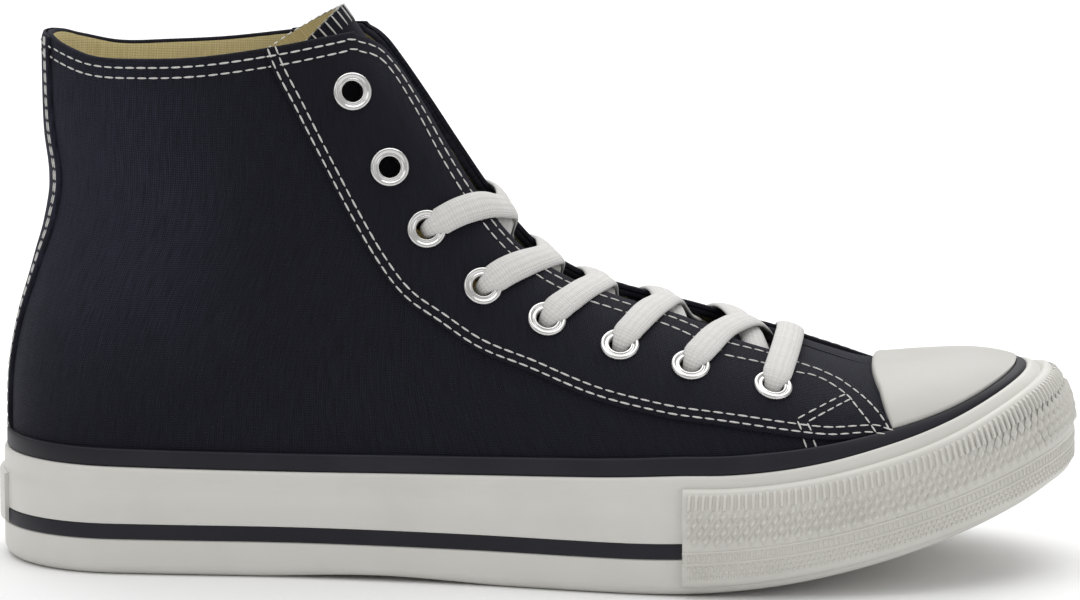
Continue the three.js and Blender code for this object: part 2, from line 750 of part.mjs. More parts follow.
// Stations of the open tapes: the stripe runs round the heel, the bumper round the toe
const stationOfX = (x) => Math.acos(1 - (2 * x) / LAST_LENGTH) / Math.PI;
const bumperStation = stationOfX(BUMPER_FROM * LAST_LENGTH);
function roundHeel(u) {
  const behind = ROUND.filter((station) => station.u < u);
  return [{ side: -1, u }, ...behind, { side: 1, u }];
}
function roundToe(u) {
  const ahead = ROUND.filter((station) => station.u > u);
  const [lateral, medial] = [-1, 1].map((side) => ahead.filter((station) => station.side === side));
  return [{ side: 1, u }, ...medial, ...lateral, { side: -1, u }];
}
const stripeStations = roundHeel(bumperStation - STRIPE_GAP);
const stripe = band(stripeStations, wallBase, stripeTop, stripeSeat, rubberOut);
addPiece("foxing_stripe", stripe, FINISHES.navyRubber);
const bumperLow = above(lift, OUTSOLE_ROUND + 0.2);
const bumperBack = rubberOut + GAP;
addPiece(
  "toe_bumper",
  tape(roundToe(bumperStation), [
    [bumperLow, bumperBack],
    [bumperLow, bumperBack + BUMPER * 0.6],
    [above(bumperLow, 2), bumperBack + BUMPER],
    [shoulder, bumperBack + BUMPER],
    [bumperMiddle, bumperBack + BUMPER],
    [bumperTop, bumperBack + BUMPER * 0.6],
    [bumperTop, bumperBack],
    [bumperMiddle, bumperBack],
    [shoulder, bumperBack],
  ]),
  FINISHES.whiteRubber,
);
const labelStation = stationOfX(crossing((x) => LABEL_WIDTH / 2 - halfWidth(x, SIDEWALL / 2), 0, LABEL_WIDTH));
const labelTop = above(wallBase, LABEL_HEIGHT);
const label = band(roundHeel(labelStation), wallBase, labelTop, bumperBack, bumperBack + LABEL);
addPiece("heel_label", label, FINISHES.whiteRubber);

// Upper and the pieces on it
const holes = Object.values(SIDES).map((side) => EYELETS.map((row) => eyeletHole(eyeletPlace(side, row))));
const throat = throatCutter();
const cut = (solid, cutters) => cutters.reduce((kept, cutter) => kept.subtract(cutter), solid);
addPiece("upper", cut(skin(0, -CANVAS, FOOT_LEVELS), [...holes.flat(), throat]), FINISHES.canvas);

// Toe cap: a rubber skin in front of a line that runs forward down the sides
const capLine = CAP_LINE.map(({ at, height }) => [at * LAST_LENGTH, height * COLLAR_HEIGHT]);
const capFront = LAST_LENGTH * 1.1;
const capRegion = [...capLine, [capFront, capLine.at(-1)[1]], [capFront, capLine[0][1]]];
const cap = skin(GAP + CAP, GAP).intersect(prism(capRegion, TALL, fromTheSide(1)));
addPiece("toe_cap", cap, FINISHES.whiteRubber);

// Eyestays: a second canvas skin above its seam in the side view and outside the throat
const seamAt = steps(EYESTAY_SEAM[0].at, EYESTAY_SEAM.at(-1).at, 16);
const seamPlace = (at) => [at * LAST_LENGTH, COLLAR_HEIGHT * follow(EYESTAY_SEAM, "height", at)];
const seam = seamAt.map((at) => {
  const [x, z] = seamPlace(at);
  const [aheadX, aheadZ] = seamPlace(at + 0.001);
  const share = SEAM_MARGIN / Math.hypot(aheadX - x, aheadZ - z);
  return [x + share * (aheadZ - z), z - share * (aheadX - x)];
});
const eyestayRegion = [...seam, [seam.at(-1)[0], TALL], [seam[0][0], TALL]];
const secondCanvas = skin(GAP + OVERLAY, GAP);
function eyestay(side, ownHoles) {
  const aboveSeam = prism(eyestayRegion, TALL / 2, fromTheSide(side, TALL / 2));
  return cut(secondCanvas.intersect(aboveSeam), [...ownHoles, eyestayFront(), throat]);
}

// The front edges of both eyestays, which sweep outwards over the vamp
function eyestayFront() {
  const start = (THROAT_END - 0.05) * LAST_LENGTH;
  const stations = steps(start, THROAT.at(-1).at * LAST_LENGTH, 8);
  const edge = (side) => stations.map((x) => [x, centreY(x) + side * throatHalf(x)]);
  const step = stations.at(-1) + 0.001;
  const far = [[step, LAST_BALL], [LAST_LENGTH, LAST_BALL], [LAST_LENGTH, -LAST_BALL], [step, -LAST_BALL]];
  return prism([...edge(1), ...far, ...edge(-1).reverse()], TALL, fromAbove);
}
Object.entries(SIDES).forEach(([name, side], i) => {
  addPiece(`eyestay_${name}`, eyestay(side, holes[i]), FINISHES.canvas);
});

// Back stay: a strip down the back seam, from the collar to the trim
const stayRegion = [
  [-HEEL_CURVE, -BACK_STAY_HALF],
  [LAST_LENGTH / 4, -BACK_STAY_HALF],
  [LAST_LENGTH / 4, BACK_STAY_HALF],
  [-HEEL_CURVE, BACK_STAY_HALF],
];
addPiece("back_stay", secondCanvas.intersect(prism(stayRegion, TALL, fromAbove)), FINISHES.canvas);

// Tongue: under the throat, from beneath the vamp to above the collar
function tongue() {
  const outer = -CANVAS - TONGUE_GAP;
  const topX = crossing((x) => ridge(x) - COLLAR_HEIGHT - TONGUE_RISE, 0.2 * LAST_LENGTH, 0.5 * LAST_LENGTH);
  const bottomX = (THROAT_END + 0.045) * LAST_LENGTH;
  const grid = (out) =>
    steps(0, 1, 12).map((along) => {
      const ridgeX = THREE.MathUtils.lerp(topX, bottomX, along);
      const half = THREE.MathUtils.lerp(TONGUE_TOP_HALF, TONGUE_LOW_HALF, along);
      return steps(-half, half, 6).map((distance) => overThroat(ridgeX, distance, out));
    });
  return sheet(grid(outer), grid(outer - TONGUE));
}
addPiece("tongue", tongue(), FINISHES.canvas);

// Eyelets and laces
Object.entries(SIDES).forEach(([name, side]) => {
  EYELETS.forEach((row, i) => {
    addPiece(`eyelet_${name}_${i + 1}`, eyeletRing(eyeletPlace(side, row)), FINISHES.metal);
  });
});
for (let i = LACED_FROM; i < EYELETS.length - 1; i++) {
  const strip = (side) => laceStrip(laceRun(side, EYELETS[i], EYELETS[i + 1]));
  const [lateral, medial] = [strip(-1), strip(1)];
  addPiece(`lace_crossing_${i - LACED_FROM + 1}`, lateral.add(medial), FINISHES.lace);
}
addPiece("lace_bar", laceStrip(laceBar(EYELETS.at(-1))), FINISHES.lace);

// The origin is on the ground below the middle of the shoe
const box = new THREE.Box3().setFromObject(shoe);
const middle = box.getCenter(new THREE.Vector3());
shoe.position.set(-middle.x, -middle.y, -box.min.z);

export default shoe;
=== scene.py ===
import math

import bmesh
import bpy
import numpy as np
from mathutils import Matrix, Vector


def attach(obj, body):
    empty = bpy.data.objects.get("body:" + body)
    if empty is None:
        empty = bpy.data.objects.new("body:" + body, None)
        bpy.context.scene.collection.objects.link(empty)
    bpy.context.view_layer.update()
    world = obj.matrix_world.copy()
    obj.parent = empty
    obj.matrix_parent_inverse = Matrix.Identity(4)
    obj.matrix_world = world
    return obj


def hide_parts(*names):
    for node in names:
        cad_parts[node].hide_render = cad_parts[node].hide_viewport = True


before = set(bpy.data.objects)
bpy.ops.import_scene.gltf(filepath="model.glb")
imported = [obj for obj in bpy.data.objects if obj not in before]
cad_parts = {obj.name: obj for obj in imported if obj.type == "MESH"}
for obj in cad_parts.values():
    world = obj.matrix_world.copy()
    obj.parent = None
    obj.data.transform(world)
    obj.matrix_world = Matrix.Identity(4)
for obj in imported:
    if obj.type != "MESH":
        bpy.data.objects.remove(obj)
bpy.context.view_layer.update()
random = np.random.default_rng(7)
print("solids in the frame:", len(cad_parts))

# %% [markdown]
# ## Sizes
# A shoe is made on a last, a wooden or plastic foot. These are its driving sizes in millimetres, and its
# curves. The curves could be drawn as Blender splines and measured, but tables of shares are easier to read:
# each holds shares of one length, so the whole shoe keeps its proportions when a length changes.
# %% Sizes
LAST_LENGTH = 289.5
LAST_BALL = 101.0
COLLAR_HEIGHT = 145.5
HEEL_CURVE = 12.4
TOE_SPRING = 25.0
TOE_SPRING_CURVE = 2.1
TOE_SPRING_FROM = 0.6
ARCH = 1.2
ARCH_FROM = 0.24
ARCH_TO = 0.5
SIDEWALL = 30.0
ROW_SHIFT = np.array([-145.336, 0.241, 0.0])

CANVAS = 2.0
OVERLAY = 1.3  # outer face of the second canvas layer
RUBBER = 2.5  # outer face of the sidewall
BUMPER = 4.6
CAP = 1.9
TONGUE = 2.0
TONGUE_OUT = -3.7

OUTSOLE_EDGE = 10.05
OUTSOLE_ROUND = 3.6
WALL_BASE = 10.1
STRIPE_HEIGHT = 4.2
TRIM_HEIGHT = 4.4
TOE_TRIM_HEIGHT = 1.8
BUMPER_RIM = 3.2
BUMPER_FROM = 0.657
LABEL_WIDTH = 34.0
LABEL_HEIGHT = 14.0
BACK_STAY_HALF = 11.0
THROAT_END = 0.745
THROAT_CORNER = 0.045
TRIM_GAP = 0.3  # clearance below the dark trim, and above it to the canvas

# How round the last is, and where along it each rounding starts
HEEL_ROUND = 2.15
CROWN = 2.3
TOE_ROUND = 2.2
TOE_FROM = 0.71
TOE_TIP_ROUND = 3.2
TOE_TIP_FROM = 0.875
SHOULDER_DROP = 6.0
SHOULDER_DROOP = 18.0
SHOULDER_FROM = 0.85

PLAN = {
    "at": [0, 0.15, 0.3, 0.45, 0.6, 0.7, 0.85, 1],
    "half": [0.345, 0.355, 0.345, 0.37, 0.46, 0.5, 0.5, 0.48],
    "bend": [0, 0, -0.015, -0.04, -0.03, -0.01, 0.035, 0.07],
}
RIDGE = {
    "at": [-0.1, 0.2, 0.32, 0.3565, 0.39, 0.434, 0.458, 0.5, 0.541, 0.58, 0.62, 0.662, 0.732, 0.782, 0.82,
           0.87, 0.92, 1],
    "height": [2.4, 1.5, 1.105, 1, 0.905, 0.777, 0.709, 0.604, 0.546, 0.517, 0.495, 0.474, 0.431, 0.396,
               0.376, 0.381, 0.388, 0.388],
}
BACK = {
    "at": [0, 0.23, 0.344, 0.4, 0.46, 0.515, 0.577, 0.632, 0.692, 0.724, 0.75, 0.804, 0.866, 0.98, 1.2],
    "lean": [0, 0, 0.024, 0.105, 0.25, 0.42, 0.61, 0.82, 0.976, 1, 0.984, 0.9, 0.87, 0.86, 0.9],
}
ANKLE = {
    "at": [0, 0.3, 0.5, 0.72, 0.88, 1.1],
    "width": [1, 1, 0.93, 0.86, 0.93, 1],
    "depth": [0.12, 0.125, 0.16, 0.24, 0.22, 0.2],
}
FOXING_TOP = {
    "at": [0, 0.1, 0.28, 0.4, 0.48, 0.57, 0.65, 0.7, 0.78, 0.85, 0.9, 0.94, 0.97, 1],
    "height": [1.02, 1, 0.98, 1, 1.02, 1.05, 1.08, 1.06, 1.04, 1.04, 1.05, 1.07, 1.08, 1.08],
}
COLLAR = {
    "at": [0, 0.0376, 0.0576, 0.0926, 0.1376, 0.1976, 0.2676, 0.3176, 0.3426, 0.3776],
    "height": [1, 0.998, 0.983, 0.9645, 0.9635, 0.97, 0.989, 1.005, 1.01, 1.01],
}
THROAT = {
    "at": [0.336, 0.3396, 0.3469, 0.3527, 0.3585, 0.3637, 0.3728, 0.3824, 0.3922, 0.4029, 0.4256, 0.4526,
           0.4748, 0.5076, 0.5418, 0.5712, 0.6046, 0.6376, 0.6626, 0.6976, 0.7476, 0.7762, 0.7942, 0.808,
           0.8191, 0.828, 0.8358, 0.8432, 0.86],
    "half": [0.134, 0.13, 0.112, 0.097, 0.083, 0.074, 0.067, 0.067, 0.072, 0.079, 0.097, 0.108,
             0.113, 0.098, 0.088, 0.088, 0.098, 0.114, 0.142, 0.187, 0.196, 0.203, 0.226, 0.263,
             0.302, 0.34, 0.372, 0.402, 0.45],
}
CAP_LINE = {
    "at": [0.8036, 0.8179, 0.8333, 0.8467, 0.8576],
    "height": [0.45, 0.39, 0.353, 0.296, 0.24],
}
EYESTAY_SEAM = {
    "at": [0.2576, 0.2646, 0.2906, 0.3256, 0.3406, 0.3656, 0.3926, 0.4256, 0.4636, 0.5126, 0.5706, 0.6276,
           0.6856, 0.7416, 0.7866, 0.8176, 0.832, 0.846],
    "height": [1.06, 0.985, 0.88, 0.745, 0.69, 0.608, 0.54, 0.495, 0.447, 0.41, 0.368, 0.343, 0.327, 0.311,
               0.299, 0.299, 0.299, 0.29],
}
EYELETS = {
    "at": [0.338, 0.3741, 0.4099, 0.4632, 0.5228, 0.5921, 0.6585, 0.7345],
    "height": [0.902, 0.764, 0.651, 0.547, 0.484, 0.44, 0.4075, 0.37],
}
FIRST_LACED = 2
SIDES = {"lateral": -1.0, "medial": 1.0}
print("last:", LAST_LENGTH, "x", LAST_BALL, "mm, collar", COLLAR_HEIGHT, "mm")

# %% [markdown]
# ## The last
# The last is a closed foot form. It could be sculpted, but then every layer on it would have to be fitted
# by hand. Here its half width is a formula of the place in the side view, so every layer asks for the same
# surface and stays a constant distance from it. Heel, toe and crown are rounded by superellipses, which are
# ovals with fuller or leaner corners.
# %% Curves from tables


def follow(table, column, at):
    """A smooth curve through one column of a table."""
    place, value = np.array(table["at"], float), np.array(table[column], float)
    at = np.asarray(at, float)
    b = np.clip(np.searchsorted(place, at, side="left"), 1, len(place) - 1)
    a = b - 1
    before, after = np.maximum(a - 1, 0), np.minimum(b + 1, len(place) - 1)
    span = place[b] - place[a]
    t = np.clip((at - place[a]) / span, 0, 1)
    slope_a = (value[b] - value[before]) / (place[b] - place[before]) * span
    slope_b = (value[after] - value[a]) / (place[after] - place[a]) * span
    t2, t3 = t * t, t * t * t
    start = (2 * t3 - 3 * t2 + 1) * value[a] + (t3 - 2 * t2 + t) * slope_a
    return start + (3 * t2 - 2 * t3) * value[b] + (t3 - t2) * slope_b


def lerp(a, b, t):
    """The value a share t of the way from a to b."""
    return a + (b - a) * t


def smooth(t, low=0.0, high=1.0):
    """A soft step from 0 at low to 1 at high."""
    t = np.clip((np.asarray(t, float) - low) / (high - low), 0, 1)
    return t * t * (3 - 2 * t)


def crossing(falling, low, high):
    """Where a falling function crosses zero, by halving."""
    low, high = np.asarray(low, float), np.asarray(high, float)
    for _ in range(36):
        middle = (low + high) / 2
        positive = falling(middle) > 0
        low, high = np.where(positive, middle, low), np.where(positive, high, middle)
    return (low + high) / 2


print("half way between two heights:", float(lerp(WALL_BASE, SIDEWALL, 0.5)), "mm")

# %% [markdown]
# Seen from the side, the last is bounded by the toe spring below, the back seam and the instep line. Heights
# that run along the whole shoe, such as the upper edge of the sidewall, are functions of the length, so one
# can be asked to run a little above another.
# %% The last's curves


def lift(x):
    """The toe spring: how high the sole has left the floor."""
    share = np.maximum(0, (x / LAST_LENGTH - TOE_SPRING_FROM) / (1 - TOE_SPRING_FROM))
    return TOE_SPRING * share**TOE_SPRING_CURVE


def arch(x):
    """How high the sole's underside is hollowed at the waist."""
    share = np.clip((x / LAST_LENGTH - ARCH_FROM) / (ARCH_TO - ARCH_FROM), 0, 1)
    return ARCH * np.sin(np.pi * share) ** 2


def above(height, distance):
    """A height that runs a distance above another one."""
    return lambda x: height(x) + distance


def foxing_top(x):
    """The white sidewall's upper edge, which dips at the waist."""
    return lift(x) + SIDEWALL * follow(FOXING_TOP, "height", x / LAST_LENGTH)


def trim_top(x):
    """The dark trim's upper edge; the trim gets narrower towards the toe."""
    toe = smooth(x / LAST_LENGTH, 0.7, 0.95)
    return foxing_top(x) + TRIM_GAP + lerp(TRIM_HEIGHT, TOE_TRIM_HEIGHT, toe)


sole_edge = above(lift, OUTSOLE_EDGE)
wall_base = above(lift, WALL_BASE)
canvas_line = above(trim_top, TRIM_GAP)
bumper_top = above(foxing_top, -BUMPER_RIM)


def centre_y(x):
    return LAST_BALL * follow(PLAN, "bend", x / LAST_LENGTH)


def back_x(z):
    return HEEL_CURVE * follow(BACK, "lean", z / COLLAR_HEIGHT)


def shoulder(x):
    """The height below which the last's sides stand straight."""
    droop = np.maximum(0, (x / LAST_LENGTH - SHOULDER_FROM) / (1 - SHOULDER_FROM)) ** 2
    return foxing_top(x) - SHOULDER_DROP - SHOULDER_DROOP * droop


def ridge(x):
    """The instep line, which falls steeply at the toe tip."""
    top = COLLAR_HEIGHT * follow(RIDGE, "height", x / LAST_LENGTH)
    t = np.clip((x / LAST_LENGTH - TOE_TIP_FROM) / (1 - TOE_TIP_FROM), 0, 1)
    base = shoulder(x)
    return base + (top - base) * (1 - t**TOE_TIP_ROUND) ** (1 / TOE_TIP_ROUND)


def signed_power(value, power):
    """A power that keeps the sign, so that a formula stays smooth past the surface."""
    return np.sign(value) * np.abs(value) ** power


print("sidewall's upper edge at the heel:", round(float(foxing_top(0.0)), 1), "mm")

# %% [markdown]
# The half width is the half plan width, narrowed at the ankle and multiplied by the rounding of the heel,
# the toe and the crown. Its square is kept, below zero outside the last, because a square root would have
# no slope at the edge.
# %% The last's width


def width_squared(x, z):
    """The square of the last's half width at a place of the side view, below zero outside it."""
    at, up = x / LAST_LENGTH, z / COLLAR_HEIGHT
    half = LAST_BALL * follow(PLAN, "half", at) * follow(ANKLE, "width", up)
    depth = LAST_LENGTH * follow(ANKLE, "depth", up)
    from_back = np.minimum((x - back_x(z)) / depth, 1)
    heel = signed_power(1 - (1 - from_back) ** HEEL_ROUND, 2 / HEEL_ROUND)
    toe = signed_power(1 - np.maximum(0, (at - TOE_FROM) / (1 - TOE_FROM)) ** TOE_ROUND, 2 / TOE_ROUND)
    base = shoulder(x)
    rise = np.maximum(0, (z - base) / np.maximum(ridge(x) - base, 1e-6))
    crown = signed_power(1 - rise**CROWN, 2 / CROWN)
    return half**2 * np.minimum(np.minimum(heel, toe), np.minimum(crown, heel * toe * crown))


def half_width(x, z):
    return np.sqrt(np.maximum(0, width_squared(x, z)))


print("instep at the ball:", round(float(ridge(0.7 * LAST_LENGTH)), 1), "mm high")

# %% [markdown]
# ## Creases
# New canvas is nearly smooth, with a few soft troughs and ridges where the ankle bends and where the vamp
# flexes. They could be sculpted or come from a cloth simulation, but a short list is easier to keep true to
# the photo: each crease is a long oval in the side view with a place, a direction and a depth.
# %% Creases
# x, z: middle; turn: direction in degrees; long, wide: half sizes; depth above 0 is a trough
CREASES = [
    {"x": 40, "z": 88, "turn": 12, "long": 34, "wide": 9, "depth": 1.4, "side": 0},
    {"x": 52, "z": 104, "turn": -4, "long": 30, "wide": 8, "depth": -0.9, "side": 0},
    {"x": 70, "z": 76, "turn": 28, "long": 26, "wide": 7, "depth": 0.9, "side": 0},
    {"x": 60, "z": 62, "turn": 34, "long": 30, "wide": 8, "depth": -0.8, "side": -1},
    {"x": 100, "z": 62, "turn": 40, "long": 26, "wide": 8, "depth": 0.8, "side": 0},
    {"x": 152, "z": 52, "turn": 62, "long": 18, "wide": 7, "depth": 0.4, "side": -1},
    {"x": 188, "z": 47, "turn": 70, "long": 16, "wide": 6, "depth": 0.45, "side": 0},
    {"x": 206, "z": 45, "turn": 76, "long": 15, "wide": 5, "depth": -0.35, "side": 0},
    {"x": 24, "z": 60, "turn": 80, "long": 22, "wide": 10, "depth": 0.4, "side": 1},
    {"x": 120, "z": 92, "turn": -35, "long": 24, "wide": 9, "depth": 0.35, "side": 0},
]
WAVE = 0.12  # how far the cloth waves between its creases
CREASE_FADE = 14.0  # height above the trim in which the creases come up
CREASE_END = (0.86, 0.8)  # shares of the length between which they die out before the toe cap


def relief(side, x, z):
    """How far the canvas stands out from the last, in millimetres."""
    total = WAVE * np.sin(x / 11 + z / 17) * np.sin(z / 13 - x / 29 + side)
    for crease in CREASES:
        turn = math.radians(crease["turn"])
        dx, dz = x - crease["x"], z - crease["z"]
        along = (dx * math.cos(turn) + dz * math.sin(turn)) / crease["long"]
        across = (dz * math.cos(turn) - dx * math.sin(turn)) / crease["wide"]
        shown = 1.0 if crease["side"] == 0 else (side == crease["side"]) * 1.0
        total = total - shown * crease["depth"] * np.exp(-(along**2) - across**2)
    fading = smooth(z - canvas_line(x), 0, CREASE_FADE)
    return total * fading * smooth(x / LAST_LENGTH, *CREASE_END)


print("creases:", len(CREASES))

# %% [markdown]
# ## Places on the last
# A shoemaker marks the last with lines round it and lines up it. A place is given here by c, which runs
# round the shoe (0 at the toe tip, 1 at the heel, 2 at the toe again), and by t, which runs up a rib: -1 at
# the sole, 0 where the canvas leaves the trim, and 1 at the collar or on the instep line. A shrinkwrap
# modifier could lay pieces on the last too, but it loses the distance between layers. Points can also be
# settled onto the surface from nearby.
# %% Places
STEP = 0.05  # a short way along the last, from which slopes are measured


def unit(vectors):
    return vectors / np.maximum(np.linalg.norm(vectors, axis=-1, keepdims=True), 1e-9)


def falls(x, z):
    """How fast the squared half width falls towards the toe and upwards."""
    across = (width_squared(x - STEP, z) - width_squared(x + STEP, z)) / (2 * STEP)
    upward = (width_squared(x, z - STEP) - width_squared(x, z + STEP)) / (2 * STEP)
    return across, upward


def on_last(side, x, z, out=0.0, soft=0.0):
    """Points of the last's surface moved out along its normal, with a share of the creases."""
    half = half_width(x, z)
    turn = (centre_y(x + STEP) - centre_y(x - STEP)) * side * half / STEP
    across, upward = falls(x, z)
    normal = unit(np.stack(np.broadcast_arrays(across - turn, 2 * side * half, upward), -1))
    point = np.stack(np.broadcast_arrays(x, centre_y(x) + side * half, z), -1)
    distance = out + soft * relief(side, x, z)
    return point + normal * np.broadcast_to(distance, point.shape[:-1])[..., None]


TOE_X = LAST_LENGTH * (1 - (1 - TOE_TIP_FROM) * (1 - np.sin(np.linspace(0, np.pi / 2, 600))))
TOE_Z = ridge(TOE_X)


def front_x(z):
    """Where the toe's outline stands at a height."""
    return np.interp(z, TOE_Z[::-1], TOE_X[::-1])


def ring_place(u, height):
    """The place where a station (0 heel, 1 toe) meets a height that varies along the shoe."""
    share = (1 - np.cos(np.pi * np.asarray(u, float))) / 2

    def ahead(x):
        return lerp(back_x(height(x)), front_x(height(x)), share) - x

    x = crossing(ahead, np.full_like(share, -5.0), np.full_like(share, LAST_LENGTH))
    return x, height(x)


def collar_z(x):
    return COLLAR_HEIGHT * follow(COLLAR, "height", x / LAST_LENGTH)


COLLAR_SHARE = 11 / 24  # share of the ribs, from the heel on, that end at the collar
COLLAR_FRONT = float(crossing(lambda x: ridge(x) - collar_z(x), 0.25 * LAST_LENGTH, 0.45 * LAST_LENGTH))
STATIONS = np.linspace(0, 1, 1201)
BASE_X, BASE_Z = ring_place(STATIONS, wall_base)
LOW_X, LOW_Z = ring_place(STATIONS, canvas_line)


def rib_tops():
    """The upper ends of the ribs: on the collar behind, on the instep line in front."""
    start = back_x(COLLAR_HEIGHT)
    turn = np.minimum(np.pi * STATIONS / COLLAR_SHARE, np.pi)
    behind = start + (COLLAR_FRONT - start) * (1 - np.cos(turn)) / 2
    along = np.clip((STATIONS - COLLAR_SHARE) / (1 - COLLAR_SHARE), 0, 1)
    lean = np.interp(COLLAR_SHARE, STATIONS, LOW_X) - COLLAR_FRONT
    ahead = LOW_X - lean * (1 - along) ** 1.5
    x = np.where(STATIONS < COLLAR_SHARE, behind, ahead)
    return x, np.where(STATIONS < COLLAR_SHARE, collar_z(x), ridge(x))


TOP_X, TOP_Z = rib_tops()


def side_and_station(c):
    """Side of the shoe, and station from the heel (0) to the toe (1), of positions round it."""
    c = np.mod(np.asarray(c, float), 2)
    return np.where(c < 1, -1.0, 1.0), np.abs(1 - c)


def place(c, t):
    """Side and side-view place of positions round the shoe (c) and up the ribs (t)."""
    side, u, t = np.broadcast_arrays(*side_and_station(c), np.asarray(t, float))
    low_x, low_z = np.interp(u, STATIONS, LOW_X), np.interp(u, STATIONS, LOW_Z)
    top_x, top_z = np.interp(u, STATIONS, TOP_X), np.interp(u, STATIONS, TOP_Z)
    base_x, base_z = np.interp(u, STATIONS, BASE_X), np.interp(u, STATIONS, BASE_Z)
    up = np.maximum(t, 0)
    roundness = smooth(u, COLLAR_SHARE - 0.15, COLLAR_SHARE + 0.1)
    rise = lerp(up, np.sin(up * np.pi / 2), roundness)
    z = lerp(low_z, top_z, rise)
    x = back_x(z) + lerp(low_x - back_x(low_z), top_x - back_x(top_z), rise)
    z = np.where((t >= 1) & (u > COLLAR_SHARE), ridge(x) + 0.01, z)
    down = -np.minimum(t, 0)
    x = np.where(t < 0, lerp(low_x, base_x, down), x)
    return side, x, np.where(t < 0, lerp(low_z, base_z, down), z)


def at_place(c, t, out=0.0, soft=0.0):
    """Points of the last at places given by c and t."""
    return on_last(*place(c, t), out, soft)


def settled(points, out=0.0, soft=0.0):
    """Points brought onto the last along its slope, then moved out, with their normals."""
    p = np.array(points, float)

    def slope(q):
        x, y, z = np.moveaxis(q, -1, 0)
        away = y - centre_y(x)
        bend = (centre_y(x + STEP) - centre_y(x - STEP)) / (2 * STEP)
        across, upward = falls(x, z)
        return away**2 - width_squared(x, z), np.stack([across - 2 * away * bend, 2 * away, upward], -1)

    for _ in range(6):
        value, gradient = slope(p)
        p = p - gradient * (value / np.maximum((gradient**2).sum(-1), 1e-9))[..., None]
    normal = unit(slope(p)[1])
    side = np.where(p[..., 1] < centre_y(p[..., 0]), -1.0, 1.0)
    distance = out + soft * relief(side, p[..., 0], p[..., 2])
    return p + normal * np.broadcast_to(distance, p.shape[:-1])[..., None], normal


print("collar meets the instep line", round(COLLAR_FRONT, 1), "mm from the heel")

# %% [markdown]
# ## Making meshes
# Every layer is a grid of points on the last. A grid could be a Blender primitive bent by modifiers, but
# numbers from numpy go straight into a mesh and stay exact. Each grid gets a map in millimetres, so that
# weave and grain keep their size. Where two edges meet, their vertices are merged and the map keeps its seam.
# %% Making meshes
collection = bpy.context.scene.collection


def to_row(points):
    """Millimetres on the last as metres in the scene."""
    return (np.asarray(points, float) + ROW_SHIFT) / 1000


def lengths(points, axis):
    """Running length along one direction of a grid, in millimetres."""
    steps = np.linalg.norm(np.diff(points, axis=axis), axis=-1)
    start = np.zeros_like(np.take(steps, [0], axis=axis))
    return np.concatenate([start, np.cumsum(steps, axis=axis)], axis=axis)


class Build:
    """Collects grids of points into one mesh."""

    def __init__(self):
        self.points, self.maps, self.faces, self.slots = [], [], [], []
        self.count = 0

    def grid(self, points, uv=None, slot=0, flip=False, keep=None):
        rows, columns = points.shape[:2]
        if uv is None:
            uv = np.stack([lengths(points, 1), lengths(points, 0)], -1)
        index = self.count + np.arange(rows * columns).reshape(rows, columns)
        quads = np.stack([index[:-1, :-1], index[:-1, 1:], index[1:, 1:], index[1:, :-1]], -1)
        quads = quads.reshape(-1, 4) if keep is None else quads[keep]
        quads = quads[:, ::-1] if flip else quads
        self.points.append(points.reshape(-1, 3))
        self.maps.append(uv.reshape(-1, 2))
        self.faces.append(quads)
        self.slots.append(np.full(len(quads), slot))
        self.count += rows * columns
        return index

    def mesh(self, name):
        points, maps = to_row(np.concatenate(self.points)), np.concatenate(self.maps)
        faces, slots = np.concatenate(self.faces), np.concatenate(self.slots)
        mesh = bpy.data.meshes.new(name)
        mesh.vertices.add(len(points))
        mesh.vertices.foreach_set("co", points.ravel())
        mesh.loops.add(faces.size)
        mesh.loops.foreach_set("vertex_index", faces.ravel().astype(np.int32))
        mesh.polygons.add(len(faces))
        mesh.polygons.foreach_set("loop_start", (np.arange(len(faces)) * 4).astype(np.int32))
        mesh.polygons.foreach_set("material_index", slots.astype(np.int32))
        mesh.update(calc_edges=True)
        mesh.uv_layers.new(name="Map").data.foreach_set("uv", maps[faces.ravel()].ravel())
        mesh.validate()
        return mesh


def close_edges(build, front, back):
    """Strips that join a front and a back grid along their four edges."""
    for part, flip in ((np.s_[0:1], False), (np.s_[-1:], True)):
        build.grid(np.concatenate([front[part], back[part]]), flip=flip)
    for part, flip in ((np.s_[:, 0:1], True), (np.s_[:, -1:], False)):
        build.grid(np.concatenate([front[part], back[part]], 1), flip=flip)


def resampled(points, run, at):
    """Points of a line at other running lengths."""
    return np.stack([np.interp(at, run, points[:, k]) for k in range(3)], -1)


def declare(mesh, name, replaced=()):
    """Puts a finished mesh into the scene as a piece of the shoe."""
    piece = bpy.data.objects.new(name, mesh)
    collection.objects.link(piece)
    if replaced:
        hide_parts(*replaced)
    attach(piece, "root")
    print(f"{name}: {len(mesh.polygons)} faces")


def finish_piece(build, name, materials, replaced=(), angle=40):
    mesh = build.mesh(name)
    work = bmesh.new()
    work.from_mesh(mesh)
    bmesh.ops.remove_doubles(work, verts=work.verts, dist=4e-6)
    bmesh.ops.dissolve_degenerate(work, dist=1e-6, edges=work.edges)
    work.to_mesh(mesh)
    work.free()
    mesh.shade_smooth()
    mesh.set_sharp_from_angle(angle=math.radians(angle))
    for material in materials:
        mesh.materials.append(material)
    declare(mesh, name, replaced)


print("pieces go into the collection:", collection.name)

# %% [markdown]
# ## Repeating small things
# Stitches, ribs and lozenges follow lines on the shoe. An array modifier on a curve could repeat them, but
# it bends the items. One Geometry Nodes tree lays an item along such lines at an even pitch, standing on the
# surface, and turns the result into plain faces.
# %% Repeating small things


def add_node(tree, kind, inputs=None, **settings):
    """A node with its settings; inputs are constants or sockets to join."""
    made = tree.nodes.new(kind)
    for key, value in settings.items():
        setattr(made, key, value)
    for key, value in (inputs or {}).items():
        socket = made.inputs[key]
        if isinstance(value, bpy.types.NodeSocket):
            tree.links.new(value, socket)
        else:
            socket.default_value = value
    return made


